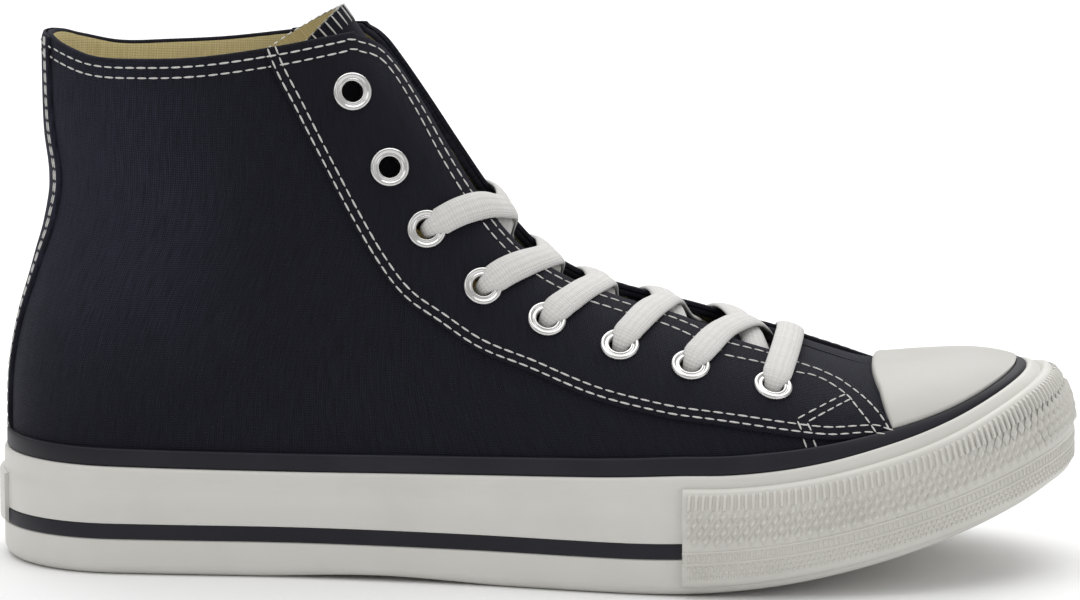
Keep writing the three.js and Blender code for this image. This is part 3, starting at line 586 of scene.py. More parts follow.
def repeating_tree():
    """Lines in, a mesh of items out: resample, place, turn, vary the size, and make it all real faces."""
    tree = bpy.data.node_groups.new("Repeat along lines", "GeometryNodeTree")
    sockets = [("Lines", "Geometry"), ("Item", "Object"), ("Pitch", "Float"), ("Variation", "Float"),
               ("Seed", "Int"), ("Finish", "Material")]
    for name, kind in sockets:
        tree.interface.new_socket(name, in_out="INPUT", socket_type="NodeSocket" + kind)
    tree.interface.new_socket("Mesh", in_out="OUTPUT", socket_type="NodeSocketGeometry")
    given = add_node(tree, "NodeGroupInput").outputs
    curve = add_node(tree, "GeometryNodeMeshToCurve", {"Mesh": given["Lines"]})
    even = add_node(tree, "GeometryNodeResampleCurve", {"Curve": curve.outputs[0], "Length": given["Pitch"]},
                    mode="LENGTH")
    up = add_node(tree, "GeometryNodeInputNamedAttribute", {"Name": "up"}, data_type="FLOAT_VECTOR")
    tangent = add_node(tree, "GeometryNodeInputTangent")
    turn = add_node(tree, "FunctionNodeAxesToRotation",
                    {"Primary Axis": up.outputs[0], "Secondary Axis": tangent.outputs[0]},
                    primary_axis="Z", secondary_axis="X")
    item = add_node(tree, "GeometryNodeObjectInfo", {"Object": given["Item"]}, transform_space="ORIGINAL")
    low = add_node(tree, "ShaderNodeMath", {0: 1.0, 1: given["Variation"]}, operation="SUBTRACT")
    high = add_node(tree, "ShaderNodeMath", {0: 1.0, 1: given["Variation"]}, operation="ADD")
    size = add_node(tree, "FunctionNodeRandomValue",
                    {"Min": low.outputs[0], "Max": high.outputs[0], "Seed": given["Seed"]}, data_type="FLOAT")
    placed = add_node(tree, "GeometryNodeInstanceOnPoints",
                      {"Points": even.outputs[0], "Instance": item.outputs["Geometry"],
                       "Rotation": turn.outputs[0], "Scale": size.outputs[1]})
    real = add_node(tree, "GeometryNodeRealizeInstances", {"Geometry": placed.outputs[0]})
    coloured = add_node(tree, "GeometryNodeSetMaterial",
                        {"Geometry": real.outputs[0], "Material": given["Finish"]})
    add_node(tree, "NodeGroupOutput", {"Mesh": coloured.outputs[0]})
    return tree


REPEAT = repeating_tree()
print("nodes that repeat an item:", len(REPEAT.nodes))

# %% [markdown]
# The small items themselves have only a few dozen faces each, because hundreds of them are laid: a rounded
# grain for thread, and two kinds of raised tile for the rubber. They are joined into one plain mesh.
# %% Small items


def item_object(name, points, faces):
    """A small item in millimetres: X runs along the line and Z out of the surface."""
    mesh = bpy.data.meshes.new(name)
    mesh.from_pydata((np.array(points, float) / 1000).tolist(), [], faces)
    mesh.shade_smooth()
    made = bpy.data.objects.new(name, mesh)
    collection.objects.link(made)
    return made


def repeated(name, lines, item, pitch, material, variation=0.0, seed=1):
    """A plain mesh of items along lines; each line is a pair of points and outward directions."""
    points = np.concatenate([line[0] for line in lines])
    ups = np.concatenate([line[1] for line in lines])
    edges, first = [], 0
    for line in lines:
        edges += [(first + i, first + i + 1) for i in range(len(line[0]) - 1)]
        first += len(line[0])
    mesh = bpy.data.meshes.new(name)
    mesh.from_pydata(to_row(points).tolist(), edges, [])
    mesh.attributes.new("up", "FLOAT_VECTOR", "POINT").data.foreach_set("vector", ups.ravel())
    holder = bpy.data.objects.new(name, mesh)
    collection.objects.link(holder)
    modifier = holder.modifiers.new("Repeat", "NODES")
    modifier.node_group = REPEAT
    values = {"Item": item, "Pitch": pitch / 1000, "Variation": variation, "Seed": seed, "Finish": material}
    for socket in REPEAT.interface.items_tree:
        if socket.item_type == "SOCKET" and socket.in_out == "INPUT" and socket.name in values:
            modifier[socket.identifier] = values[socket.name]
    holder.update_tag()
    graph = bpy.context.evaluated_depsgraph_get()
    made = bpy.data.meshes.new_from_object(holder.evaluated_get(graph), depsgraph=graph)
    bpy.data.objects.remove(holder)
    return made


def joined_piece(name, meshes, material):
    """One piece from several plain meshes."""
    work = bmesh.new()
    for mesh in meshes:
        work.from_mesh(mesh)
    mesh = bpy.data.meshes.new(name)
    work.to_mesh(mesh)
    work.free()
    mesh.shade_smooth()
    mesh.set_sharp_from_angle(angle=math.radians(ITEM_SHARP))
    mesh.materials.append(material)
    mesh.polygons.foreach_set("material_index", np.zeros(len(mesh.polygons), np.int32))
    declare(mesh, name)


def capsule(long, wide, high, sides=6, turned=False):
    """A rounded grain of thread or rubber; turned lays it across the line."""
    rings = [(-0.5, 0.15), (-0.36, 0.8), (0.0, 1.0), (0.36, 0.8), (0.5, 0.15)]
    points, faces = [], []
    for along, size in rings:
        for k in range(sides):
            angle = 2 * math.pi * k / sides
            x, y = along * long, math.cos(angle) * size * wide / 2
            up = math.sin(angle) * size * high / 2
            points.append((-y, x, up) if turned else (x, y, up))
    for i in range(len(rings) - 1):
        for k in range(sides):
            n = (k + 1) % sides
            faces.append((i * sides + k, (i + 1) * sides + k, (i + 1) * sides + n, i * sides + n))
    last = (len(rings) - 1) * sides
    faces.append(tuple(range(sides)))
    faces.append(tuple(last + k for k in reversed(range(sides))))
    return points, faces


ITEM_SHARP = 50  # degrees above which an item's edge stays sharp
TILE_FACES = [(4, 5, 6, 7), (0, 1, 5, 4), (1, 2, 6, 5), (2, 3, 7, 6), (3, 0, 4, 7)]


def tile(base, crest, long, wide, high, lean):
    """A raised tile between two outlines in half sizes; lean slants it along the line."""
    corners = [(x, y, 0) for x, y in base] + [(x, y, high) for x, y in crest]
    return [(x * long / 2 + y * lean / 2, y * wide / 2, z) for x, y, z in corners], TILE_FACES


def pillow(long, wide, high, lean=0.0):
    """A four-sided tile with a flat top."""
    base = [(-1, -1), (1, -1), (1, 1), (-1, 1)]
    return tile(base, [(0.55 * x, 0.6 * y) for x, y in base], long, wide, high, lean)


def diamond(long, wide, high, lean=0.0):
    """A four-sided pyramid with a blunt top, standing on a corner."""
    base = [(0, -1), (1, 0), (0, 1), (-1, 0)]
    return tile(base, [(2 / 7 * x, 2 / 7 * y) for x, y in base], long, wide, high, lean)


print("faces of a raised tile:", len(TILE_FACES))

# %% [markdown]
# ## Finishes
# Canvas is two sets of threads that cross over and under each other, and moulded rubber has a fine grain.
# Image textures could show both, but they blur close up. Here small node groups compute them from the map
# and from the place, and several materials share each group with their own colours.
# %% Shader groups


def shader_group(name, inputs, outputs, fill):
    """A node group whose fill function returns its output sockets by name."""
    tree = bpy.data.node_groups.new(name, "ShaderNodeTree")
    for key, kind, value in inputs:
        socket = tree.interface.new_socket(key, in_out="INPUT", socket_type="NodeSocket" + kind)
        if value is not None:
            socket.default_value = value
    for key, kind in outputs:
        tree.interface.new_socket(key, in_out="OUTPUT", socket_type="NodeSocket" + kind)
    given = add_node(tree, "NodeGroupInput").outputs
    add_node(tree, "NodeGroupOutput", fill(tree, given))
    return tree


def sums(tree, operation, *values):
    """A maths node's result."""
    return add_node(tree, "ShaderNodeMath", dict(enumerate(values)), operation=operation).outputs[0]


def weave_fill(tree, given):
    """Height of a plain weave in a map in millimetres, with uneven threads."""
    uneven = add_node(tree, "ShaderNodeTexNoise", {"Vector": given["Map"], "Scale": 0.35, "Detail": 3.0})
    shifted = add_node(tree, "ShaderNodeVectorMath",
                       {0: uneven.outputs["Color"], 1: (0.5, 0.5, 0.5)}, operation="SUBTRACT")
    moved = add_node(tree, "ShaderNodeVectorMath",
                     {0: shifted.outputs[0], 1: (0.5, 0.5, 0.5), 2: given["Map"]}, operation="MULTIPLY_ADD")
    parts = add_node(tree, "ShaderNodeSeparateXYZ", {0: moved.outputs[0]})
    across = sums(tree, "MULTIPLY", sums(tree, "DIVIDE", parts.outputs[0], given["Pitch"]), math.pi)
    along = sums(tree, "MULTIPLY", sums(tree, "DIVIDE", parts.outputs[1], given["Pitch"]), math.pi)
    over = sums(tree, "MULTIPLY", sums(tree, "SINE", across), sums(tree, "SINE", along))
    warp = sums(tree, "ABSOLUTE", sums(tree, "SINE", across))
    weft = sums(tree, "ABSOLUTE", sums(tree, "SINE", along))
    share = sums(tree, "MULTIPLY_ADD", over, 0.5, 0.5)
    height = add_node(tree, "ShaderNodeMix", {0: share, 2: warp, 3: weft}, data_type="FLOAT").outputs[0]
    streak = add_node(tree, "ShaderNodeMapping", {"Vector": given["Map"], "Scale": (1.8, 0.12, 1.0)})
    slub = add_node(tree, "ShaderNodeTexNoise", {"Vector": streak.outputs[0], "Scale": 1.0, "Detail": 2.0})
    return {"Height": height, "Slub": slub.outputs[0]}


def patch_fill(tree, given):
    """A soft round patch about a centre, with an uneven edge."""
    uneven = add_node(tree, "ShaderNodeTexNoise", {"Vector": given["Place"], "Scale": 28.0, "Detail": 3.0})
    away = add_node(tree, "ShaderNodeVectorMath", {0: given["Place"], 1: given["Centre"]},
                    operation="DISTANCE")
    wide = sums(tree, "MULTIPLY_ADD", uneven.outputs[0], 0.03, away.outputs["Value"])
    mask = add_node(tree, "ShaderNodeMapRange",
                    {"Value": wide, "From Min": given["Outer"], "From Max": given["Inner"]},
                    interpolation_type="SMOOTHSTEP")
    return {"Mask": mask.outputs[0]}


PATCH = shader_group("Soft patch", [("Place", "Vector", None), ("Centre", "Vector", None),
                                    ("Inner", "Float", 0.02), ("Outer", "Float", 0.08)],
                     [("Mask", "Float")], patch_fill)
WEAVE = shader_group("Plain weave", [("Map", "Vector", None), ("Pitch", "Float", 0.8)],
                     [("Height", "Float"), ("Slub", "Float")], weave_fill)


def grain_fill(tree, given):
    """Fine grain of moulded rubber, and a soft mask of handling marks."""
    fine = add_node(tree, "ShaderNodeTexNoise", {"Vector": given["Place"], "Scale": 900.0, "Detail": 4.0})
    wide = add_node(tree, "ShaderNodeTexNoise", {"Vector": given["Place"], "Scale": 45.0, "Detail": 5.0})
    marks = add_node(tree, "ShaderNodeMapRange",
                     {"Value": wide.outputs[0], "From Min": 0.42, "From Max": 0.75})
    return {"Height": fine.outputs[0], "Marks": marks.outputs[0]}


GRAIN = shader_group("Rubber grain", [("Place", "Vector", None)],
                     [("Height", "Float"), ("Marks", "Float")], grain_fill)
print("shader groups:", PATCH.name, WEAVE.name, GRAIN.name)

# %% [markdown]
# A material could mix colour and gloss by hand for every piece. Two helpers are enough here: woven for
# canvas, lining and lace, and rubber for every moulded part. The canvas also carries a painted highlight:
# a soft paler patch near the ankle at the back, where its threads take more of the light colour, standing in
# for sheen.
# %% Cloth and rubber


def new_material(name, roughness, metallic=0.0, **extra):
    """A material with its Principled shader and its node tree."""
    material = bpy.data.materials.new(name)
    material.use_nodes = True
    shader = material.node_tree.nodes["Principled BSDF"]
    shader.inputs["Roughness"].default_value = roughness
    shader.inputs["Metallic"].default_value = metallic
    for key, value in extra.items():
        shader.inputs[key].default_value = value
    return material, material.node_tree, shader


def mixed(tree, share, low, high):
    """A colour between two, by a share."""
    made = add_node(tree, "ShaderNodeMix", {"Factor": share}, data_type="RGBA")
    made.inputs[6].default_value = (*low, 1)
    made.inputs[7].default_value = (*high, 1)
    return made.outputs[2]


def bump(tree, shader, height, strength, distance):
    """A height that the light sees as relief."""
    made = add_node(tree, "ShaderNodeBump", {"Height": height, "Strength": strength, "Distance": distance})
    tree.links.new(made.outputs[0], shader.inputs["Normal"])


def woven(name, dark, light, pitch, roughness, depth, painted_sheen=False, **extra):
    """Cloth: threads shade from dark to light with the weave and its slubs, more so in a painted highlight
    patch.
    """
    material, tree, shader = new_material(name, roughness, **{"Specular IOR Level": 0.15}, **extra)
    uv = add_node(tree, "ShaderNodeUVMap", uv_map="Map")
    weave = add_node(tree, "ShaderNodeGroup", node_tree=WEAVE)
    tree.links.new(uv.outputs[0], weave.inputs["Map"])
    weave.inputs["Pitch"].default_value = pitch
    lit = sums(tree, "MULTIPLY", weave.outputs["Height"], weave.outputs["Slub"])
    # Painted highlight: a soft round patch near the ankle at the back takes more of the light colour,
    # standing in for sheen.
    if painted_sheen:
        coordinates = add_node(tree, "ShaderNodeTexCoord")
        patch_node = add_node(tree, "ShaderNodeGroup", node_tree=PATCH)
        tree.links.new(coordinates.outputs["Object"], patch_node.inputs["Place"])
        patch_node.inputs["Centre"].default_value = (-0.125, -0.03, 0.1)
        patch_node.inputs["Inner"].default_value = 0.015
        lit = sums(tree, "MULTIPLY", lit, sums(tree, "MULTIPLY_ADD", patch_node.outputs[0], 1.1, 0.5))
    tree.links.new(mixed(tree, sums(tree, "MULTIPLY", lit, 1.6), dark, light), shader.inputs["Base Color"])
    bump(tree, shader, weave.outputs["Height"], 0.7, depth)
    return material


def rubber(name, clean, marked, roughness, **extra):
    """Rubber: fine grain, and faint marks where it has been handled."""
    material, tree, shader = new_material(name, roughness, **extra)
    coordinates = add_node(tree, "ShaderNodeTexCoord")
    grain = add_node(tree, "ShaderNodeGroup", node_tree=GRAIN)
    tree.links.new(coordinates.outputs["Object"], grain.inputs["Place"])
    tree.links.new(mixed(tree, grain.outputs["Marks"], clean, marked), shader.inputs["Base Color"])
    bump(tree, shader, grain.outputs["Height"], 0.5, 0.00006)
    return material


print("cloth and rubber share", len(bpy.data.node_groups), "node groups")

# %% [markdown]
# The colours are linear and a little darker than they look. The whites differ: the sidewall is the
# cleanest, the toe cap's white is set a little darker as painted shade, against the top light that its upward
# faces catch, and the underside of the sole has a coarse moulded tread, which borrows the weave's height at a
# larger pitch.
# %% Materials
# The canvas gets a painted highlight patch near the ankle at the back, standing in for sheen.
canvas = woven("Canvas", (0.0028, 0.0028, 0.004), (0.021, 0.0215, 0.037), 0.62, 0.85, 0.00024, painted_sheen=True,
               **{"Sheen Weight": 0.06, "Sheen Roughness": 0.4, "Sheen Tint": (0.6, 0.62, 0.8, 1)})
lining = woven("Lining", (0.5, 0.42, 0.2), (0.76, 0.66, 0.38), 0.7, 0.9, 0.00012)
lace_cloth = woven("Lace cotton", (0.52, 0.515, 0.5), (0.66, 0.652, 0.635), 0.85, 0.95, 0.0002)
white_rubber = rubber("White rubber", (0.6, 0.59, 0.555), (0.57, 0.558, 0.52), 0.45)
bumper_rubber = rubber("Bumper rubber", (0.6, 0.585, 0.545), (0.56, 0.545, 0.505), 0.5)
navy_rubber = rubber("Navy rubber", (0.006, 0.006, 0.011), (0.01, 0.01, 0.017), 0.5,
                     **{"Specular IOR Level": 0.3})
# The toe cap's darker white is painted shade: it holds back the top light that the cap's upward faces catch.
cap_rubber = rubber("Cap rubber", (0.47, 0.464, 0.437), (0.44, 0.432, 0.404), 0.5,
                    **{"Specular IOR Level": 0.3})
tread_rubber = rubber("Tread rubber", (0.6, 0.59, 0.555), (0.5, 0.48, 0.44), 0.6)
tread_tree = tread_rubber.node_tree
tread_map = add_node(tread_tree, "ShaderNodeUVMap", uv_map="Map")
tread = add_node(tread_tree, "ShaderNodeGroup", node_tree=WEAVE)
tread_tree.links.new(tread_map.outputs[0], tread.inputs["Map"])
tread.inputs["Pitch"].default_value = 5.5
bump(tread_tree, tread_tree.nodes["Principled BSDF"], tread.outputs["Height"], 0.8, 0.0015)
thread = new_material("White thread", 0.8, **{"Base Color": (0.55, 0.54, 0.52, 1)})[0]
nickel = new_material("Nickel", 0.2, 1.0, **{"Base Color": (0.6, 0.595, 0.585, 1)})[0]
print("materials:", len(bpy.data.materials))

# %% [markdown]
# ## Sole
# The outsole is a moulded rubber plate with a rounded lower edge, flat under the heel and the forefoot, a
# little raised at the waist and lifted at the toe. It could be a bevelled extrusion, but the lift and the
# waist change along it, so its outline is laid at several levels instead. The insole is a thinner plate
# inside the wall.
# %% Sole
ROUND = np.linspace(0, 2, 481)


def plate_rings(levels):
    """Outlines of a plate at several levels, each with a height, a distance out and a share of the arch."""
    side = np.where(ROUND < 1, -1.0, 1.0)
    x, z = ring_place(np.abs(1 - ROUND), sole_edge)
    rings = []
    for height, out, arched in levels:
        ring = on_last(side, x, z, out)
        ring[:, 2] = lift(x) + height + arch(x) * arched
        rings.append(ring)
    return np.stack(rings)


def filled(build, ring, turned, slot=0):
    """A flat face across a ring, from its lateral to its medial side."""
    middle = len(ring) // 2
    lateral, medial = ring[: middle + 1], ring[middle:][::-1]
    across = np.linspace(0, 1, 13)[:, None, None]
    build.grid(lerp(lateral[None], medial[None], across), slot=slot, flip=turned)


def plate(name, levels, materials, replaced):
    """A closed plate whose underside takes the last of its materials."""
    build = Build()
    rings = plate_rings(levels)
    build.grid(rings)
    filled(build, rings[0], True, slot=len(materials) - 1)
    filled(build, rings[-1], False)
    finish_piece(build, name, materials, replaced)


OUTSOLE_LEVELS = [
    *[(OUTSOLE_ROUND * (1 - math.cos(a)), RUBBER - OUTSOLE_ROUND * (1 - math.sin(a)), math.cos(a))
      for a in np.linspace(0, np.pi / 2, 7)],
    (7.0, RUBBER, 0),
    (OUTSOLE_EDGE - 0.3, RUBBER, 0),
    (OUTSOLE_EDGE, RUBBER - 0.3, 0),
]
INSOLE_LEVELS = [(OUTSOLE_EDGE, -2.2, 0), (OUTSOLE_EDGE + 3.6, -2.2, 0), (OUTSOLE_EDGE + 4.0, -2.7, 0)]
plate("outsole_rubber", OUTSOLE_LEVELS, [white_rubber, tread_rubber], ["outsole"])
plate("insole_cloth", INSOLE_LEVELS, [lining], ["insole"])

# %% [markdown]
# ## Rubber tapes
# The sidewall is a thick white tape with a shallow ledge, a thin dark line is let in low down, and a dark
# tape covers its upper edge. On the real shoe they are strips of soft rubber, pressed on one after another.
# A curve with a bevel object could carry a section round, but it would keep one height; here each corner of
# the section is a height that varies along the shoe, and a distance out.
# %% Rubber tapes


def tape_piece(name, c, section, material, replaced, capped=False):
    """A section carried round the shoe; a tape that doesn't close on itself can have its ends capped."""
    side, station = side_and_station(c)
    rows = [on_last(side, *ring_place(station, height), out) for height, out in section]
    build = Build()
    build.grid(np.stack([*rows, rows[0]]))
    half = len(rows) // 2 + 1
    for column, turned in ((0, False), (-1, True)) if capped else ():
        ring = np.stack(rows)[:, column]
        build.grid(np.stack([ring[:half], ring[::-1][:half]]), flip=turned)
    finish_piece(build, name, [material], replaced)


def rounded_band(low, high, inner, outer, radius, steps=4):
    """A section with rounded outer corners."""
    arcs = np.linspace(0, np.pi / 2, steps)
    lower = [(above(low, radius * (1 - math.sin(a))), outer - radius * (1 - math.cos(a))) for a in arcs[::-1]]
    upper = [(above(high, -radius * (1 - math.sin(a))), outer - radius * (1 - math.cos(a))) for a in arcs]
    return [(low, inner), *lower, *upper, (high, inner)]


def middle_height(low, high, share):
    """A height that keeps its share of the way between two others."""
    return lambda x: lerp(low(x), high(x), share)


print("corners of a rounded section:", len(rounded_band(lift, foxing_top, 0.0, 1.0, 0.5)))

# %% [markdown]
# The sidewall's face is almost flat: it swells by a tenth of a millimetre and has one shallow ledge near its
# upper edge. The dark tape above it is narrow and thin, with rounded corners.
# %% Sidewall and trim
stripe_top = above(wall_base, STRIPE_HEIGHT)
ledge = above(foxing_top, -6.2)
FOXING_CORNER = 0.9
foxing_section = [
    (stripe_top, 0.3),
    (stripe_top, RUBBER - 0.25),
    (above(stripe_top, 0.15), RUBBER),
    (middle_height(stripe_top, ledge, 0.5), RUBBER + 0.1),
    (above(ledge, -0.3), RUBBER),
    (above(ledge, 0.15), RUBBER - 0.28),
    (middle_height(ledge, foxing_top, 0.5), RUBBER - 0.2),
    *[(above(foxing_top, -FOXING_CORNER * (1 - math.sin(a))),
       RUBBER - 0.3 - FOXING_CORNER * (1 - math.cos(a))) for a in np.linspace(0, np.pi / 2, 5)],
    (foxing_top, 0.3),
    (shoulder, 0.3),
]
tape_piece("foxing_rubber", ROUND, foxing_section, white_rubber, ["foxing"])
tape_piece("foxing_trim_rubber", ROUND, rounded_band(foxing_top, above(trim_top, TRIM_GAP), 0.0, 1.5, 0.7),
           navy_rubber, ["foxing_trim"])

# %% [markdown]
# The dark line ends under the toe bumper at both sides. The heel label is a raised rubber rectangle that
# bends round the heel; it is left blank.
# %% Stripe and heel label


def station_of(x):
    """How far round from the heel (0 to 1) a length along the shoe lies."""
    return math.acos(1 - 2 * x / LAST_LENGTH) / math.pi


LABEL_OUT = 3.7
bumper_station = station_of(BUMPER_FROM * LAST_LENGTH)
tape_piece("stripe_rubber", np.linspace(1 - bumper_station, 1 + bumper_station, 361),
           rounded_band(wall_base, stripe_top, RUBBER - 0.9, RUBBER + 0.12, 0.35),
           navy_rubber, ["foxing_stripe"])

label_x = float(crossing(lambda x: LABEL_WIDTH / 2 - half_width(x, SIDEWALL / 2), 0.0, 30.0))
label_station = station_of(label_x)
label_low, label_high = above(wall_base, 0.4), above(wall_base, LABEL_HEIGHT)
tape_piece("heel_label_rubber", np.linspace(1 - label_station, 1 + label_station, 61),
           rounded_band(label_low, label_high, RUBBER - 0.2, LABEL_OUT, 0.6),
           white_rubber, ["heel_label"], capped=True)

# %% [markdown]
# ## Toe bumper
# A second tape wraps the toe. Two thin lines stand out low on its face, and its upper corner is rounded.
# %% Toe bumper
bumper_low = above(lift, OUTSOLE_ROUND - 1.2)
around_toe = np.linspace(-(1 - bumper_station), 1 - bumper_station, 301)


def raised_line(height):
    """Four corners of a thin line that stands out of the bumper's face."""
    corners = ((-0.35, 0.0), (-0.15, 0.35), (0.15, 0.35), (0.35, 0.0))
    return [(above(lift, height + up), BUMPER + out) for up, out in corners]


bumper_section = [
    (bumper_low, RUBBER - 0.2),
    (bumper_low, RUBBER + 0.6),
    (above(bumper_low, 0.6), RUBBER + 1.4),
    (above(bumper_low, 2.0), BUMPER),
    *raised_line(9.1),
    *raised_line(12.2),
    (middle_height(bumper_low, bumper_top, 0.65), BUMPER + 0.05),
    (above(bumper_top, -2.0), BUMPER),
    (above(bumper_top, -0.8), BUMPER - 0.25),
    (above(bumper_top, -0.2), BUMPER - 0.9),
    (bumper_top, BUMPER - 1.7),
    (bumper_top, RUBBER - 0.3),
]
tape_piece("toe_bumper_rubber", around_toe, bumper_section, bumper_rubber, ["toe_bumper"],
           capped=True)

# %% [markdown]
# The bumper's face carries moulded bands: upright ribs along the top, four rows of staggered lozenges, a
# narrow ribbed band and a knurl along the bottom. A bump texture would look flat from the side, so each band
# is one raised item repeated along a line on the rubber.
# %% Bumper texture


def ring_line(c, height, out):
    """A line round the rubber at a height, with its outward directions."""
    side, station = side_and_station(c)
    x, z = ring_place(station, height)
    points = on_last(side, x, z, out)
    return points, on_last(side, x, z, out + 1) - points


def staggered(line, count, odd):
    """A line for that many even steps, and its step; odd rows begin and end half a step in."""
    points, ups = line
    run = lengths(points, 0)
    step = run[-1] / count
    at = np.linspace(step / 2 * odd, run[-1] - step / 2 * odd, len(points))
    return (resampled(points, run, at), resampled(ups, run, at)), step * 0.9995


toe_line = np.linspace(-(1 - bumper_station) + 0.004, 1 - bumper_station - 0.004, 260)
rib = item_object("rib", *pillow(1.15, 4.8, 0.7, 0.5))
lozenge = item_object("lozenge", *diamond(2.55, 4.2, 1.15, 1.3))
fine_rib = item_object("fine rib", *pillow(0.65, 2.1, 0.45))
key = item_object("key", *pillow(0.85, 0.95, 0.5))
# Item, height of its middle, items round the toe, and whether the row is staggered
TEXTURE_ROWS = [(rib, above(bumper_top, -3.4), 140, 0)]
TEXTURE_ROWS += [(lozenge, above(bumper_top, -6.9 - 2.2 * row), 88, row % 2) for row in range(4)]
TEXTURE_ROWS += [(fine_rib, above(lift, 10.65), 190, 0)]
TEXTURE_ROWS += [(key, above(lift, 7.9 - 1.3 * row), 170, row % 2) for row in range(3)]
texture = []
for item, height, count, odd in TEXTURE_ROWS:
    line, step = staggered(ring_line(toe_line, height, BUMPER - 0.05), count, odd)
    texture.append(repeated("row", [line], item, step, bumper_rubber))
joined_piece("toe_bumper_texture", texture, bumper_rubber)
for shown in (rib, lozenge, fine_rib, key):
    bpy.data.objects.remove(shown)

# %% [markdown]
# ## Canvas wall
# The upper is canvas cut and sewn to shape, with a lining inside. A plane with a cloth and a solidify
# modifier could stand for it, but its edges would wander. Here its ribs end exactly at the collar, at the
# throat's edge or on the instep line. First the edges of the throat and the eyelet holes are found.
# %% Throat and holes


def throat_half(x):
    """Half the distance between the eyestays' edges."""
    return LAST_BALL * follow(THROAT, "half", x / LAST_LENGTH)


def throat_edge(x):
    """Half the opening between the eyestays, below zero where there is none."""
    end, corner = THROAT_END * LAST_LENGTH, THROAT_CORNER * LAST_LENGTH
    share = np.clip((x - end + corner) / corner, 0, 1)
    half = throat_half(x) - corner * (1 - np.sqrt(1 - share**2))
    return np.where((x > THROAT["at"][0] * LAST_LENGTH) & (x < end), half, -1.0)


def eyestay_edge(x):
    """The eyestays' edge, which goes on straight past the end of the opening."""
    return np.where(x > THROAT["at"][0] * LAST_LENGTH, throat_half(x), -1.0)


def rib_end(c, edge):
    """How far up a rib the cloth reaches before it meets an edge."""

    def outside(t):
        _, x, z = place(c, t)
        return half_width(x, z) - edge(x)

    whole = outside(np.ones_like(c)) >= 0
    return np.where(whole, 1.0, crossing(outside, np.zeros_like(c), np.ones_like(c))), whole


def hole_centres():
    """Centre and outward direction of every eyelet hole: the outer side's first, from the top down."""
    found = []
    for side in SIDES.values():
        for at, height in zip(EYELETS["at"], EYELETS["height"]):
            x, z = np.array(at * LAST_LENGTH), np.array(height * COLLAR_HEIGHT)
            seat = on_last(side, x, z, 0.0, 1.0)
            outward = on_last(side, x, z, 1.0, 1.0) - seat
            found.append((seat, outward))
    return found


HOLES = hole_centres()
HOLE_RADIUS = 3.3
HOLE_DEPTH = 6.0  # how far along a hole's axis the cloth is looked for
RIM_REACH = 4.0  # how far outside a hole its rim is drawn in
print("eyelet holes:", len(HOLES))

# %% [markdown]
# A hole in a grid is made by leaving out the cells inside it, and then drawing the rim's corners onto a
# circle. A boolean would cut cleaner, but it would spoil the map and take long.
# %% Punched grids


def about_hole(points, seat, outward):
    """Depth of points along a hole's axis, their offset across it, and its length."""
    away = points - seat
    depth = (away * outward).sum(-1)
    flat = away - depth[..., None] * outward
    return depth, flat, np.linalg.norm(flat, axis=-1)


def punched(points):
    """Which cells of a grid lie clear of the eyelet holes; the cells' edges close round each hole."""
    inside = np.zeros(points.shape[:2], bool)
    for seat, outward in HOLES:
        depth, _, radius = about_hole(points, seat, outward)
        inside |= (radius < HOLE_RADIUS) & (np.abs(depth) < HOLE_DEPTH)
    keep = ~(inside[:-1, :-1] | inside[1:, :-1] | inside[:-1, 1:] | inside[1:, 1:])
    rim = np.zeros_like(inside)
    for dropped in (np.s_[:-1, :-1], np.s_[1:, :-1], np.s_[:-1, 1:], np.s_[1:, 1:]):
        rim[dropped] |= ~keep
    rim &= ~inside
    for seat, outward in HOLES:
        depth, flat, radius = about_hole(points, seat, outward)
        near = rim & (radius < HOLE_RADIUS + RIM_REACH) & (np.abs(depth) < HOLE_DEPTH)
        pulled = flat * (HOLE_RADIUS / np.maximum(radius, 1e-6))[..., None]
        points[near] = (seat + pulled + depth[..., None] * outward)[near]
    return keep


def upper_columns():
    """Positions round the shoe, closer together where the throat ends."""
    even = np.linspace(0, 2, 561)
    end = station_of((THROAT_END + 0.012) * LAST_LENGTH)
    dense = np.linspace(-0.02, 0.02, 25)
    return np.unique(np.concatenate([even, 1 - end + dense, 1 + end + dense]))


columns = upper_columns()
print("ribs round the wall:", len(columns))

# %% [markdown]
# The wall is two grids, the canvas outside and the lining inside, and over the open edges the cloth rolls
# from one to the other in a half circle. A second layer sewn to it later asks for the same ribs.
# %% Canvas wall
top, whole = rib_end(columns, throat_edge)
closed = whole & (np.abs(1 - columns) >= COLLAR_SHARE)
rib_length = lengths(at_place(columns[None], np.linspace(0, 1, 24)[:, None]), 0)[-1]
ROLL = CANVAS / 2
reach = np.where(closed, top, top - ROLL / rib_length)
foot_rows = np.linspace(-1, 0, 6)[:-1]
rib_rows = np.linspace(0, 1, 56)
foot_t = np.broadcast_to(foot_rows[:, None], (len(foot_rows), len(columns)))
wall_t = np.concatenate([foot_t, rib_rows[:, None] * reach[None]])
around_map = lengths(at_place(columns[None], np.array([[0.3]])), 1)[0]
upward_map = lengths(at_place(columns, wall_t), 0)
wall_map = np.stack([np.broadcast_to(around_map, upward_map.shape), upward_map], -1)

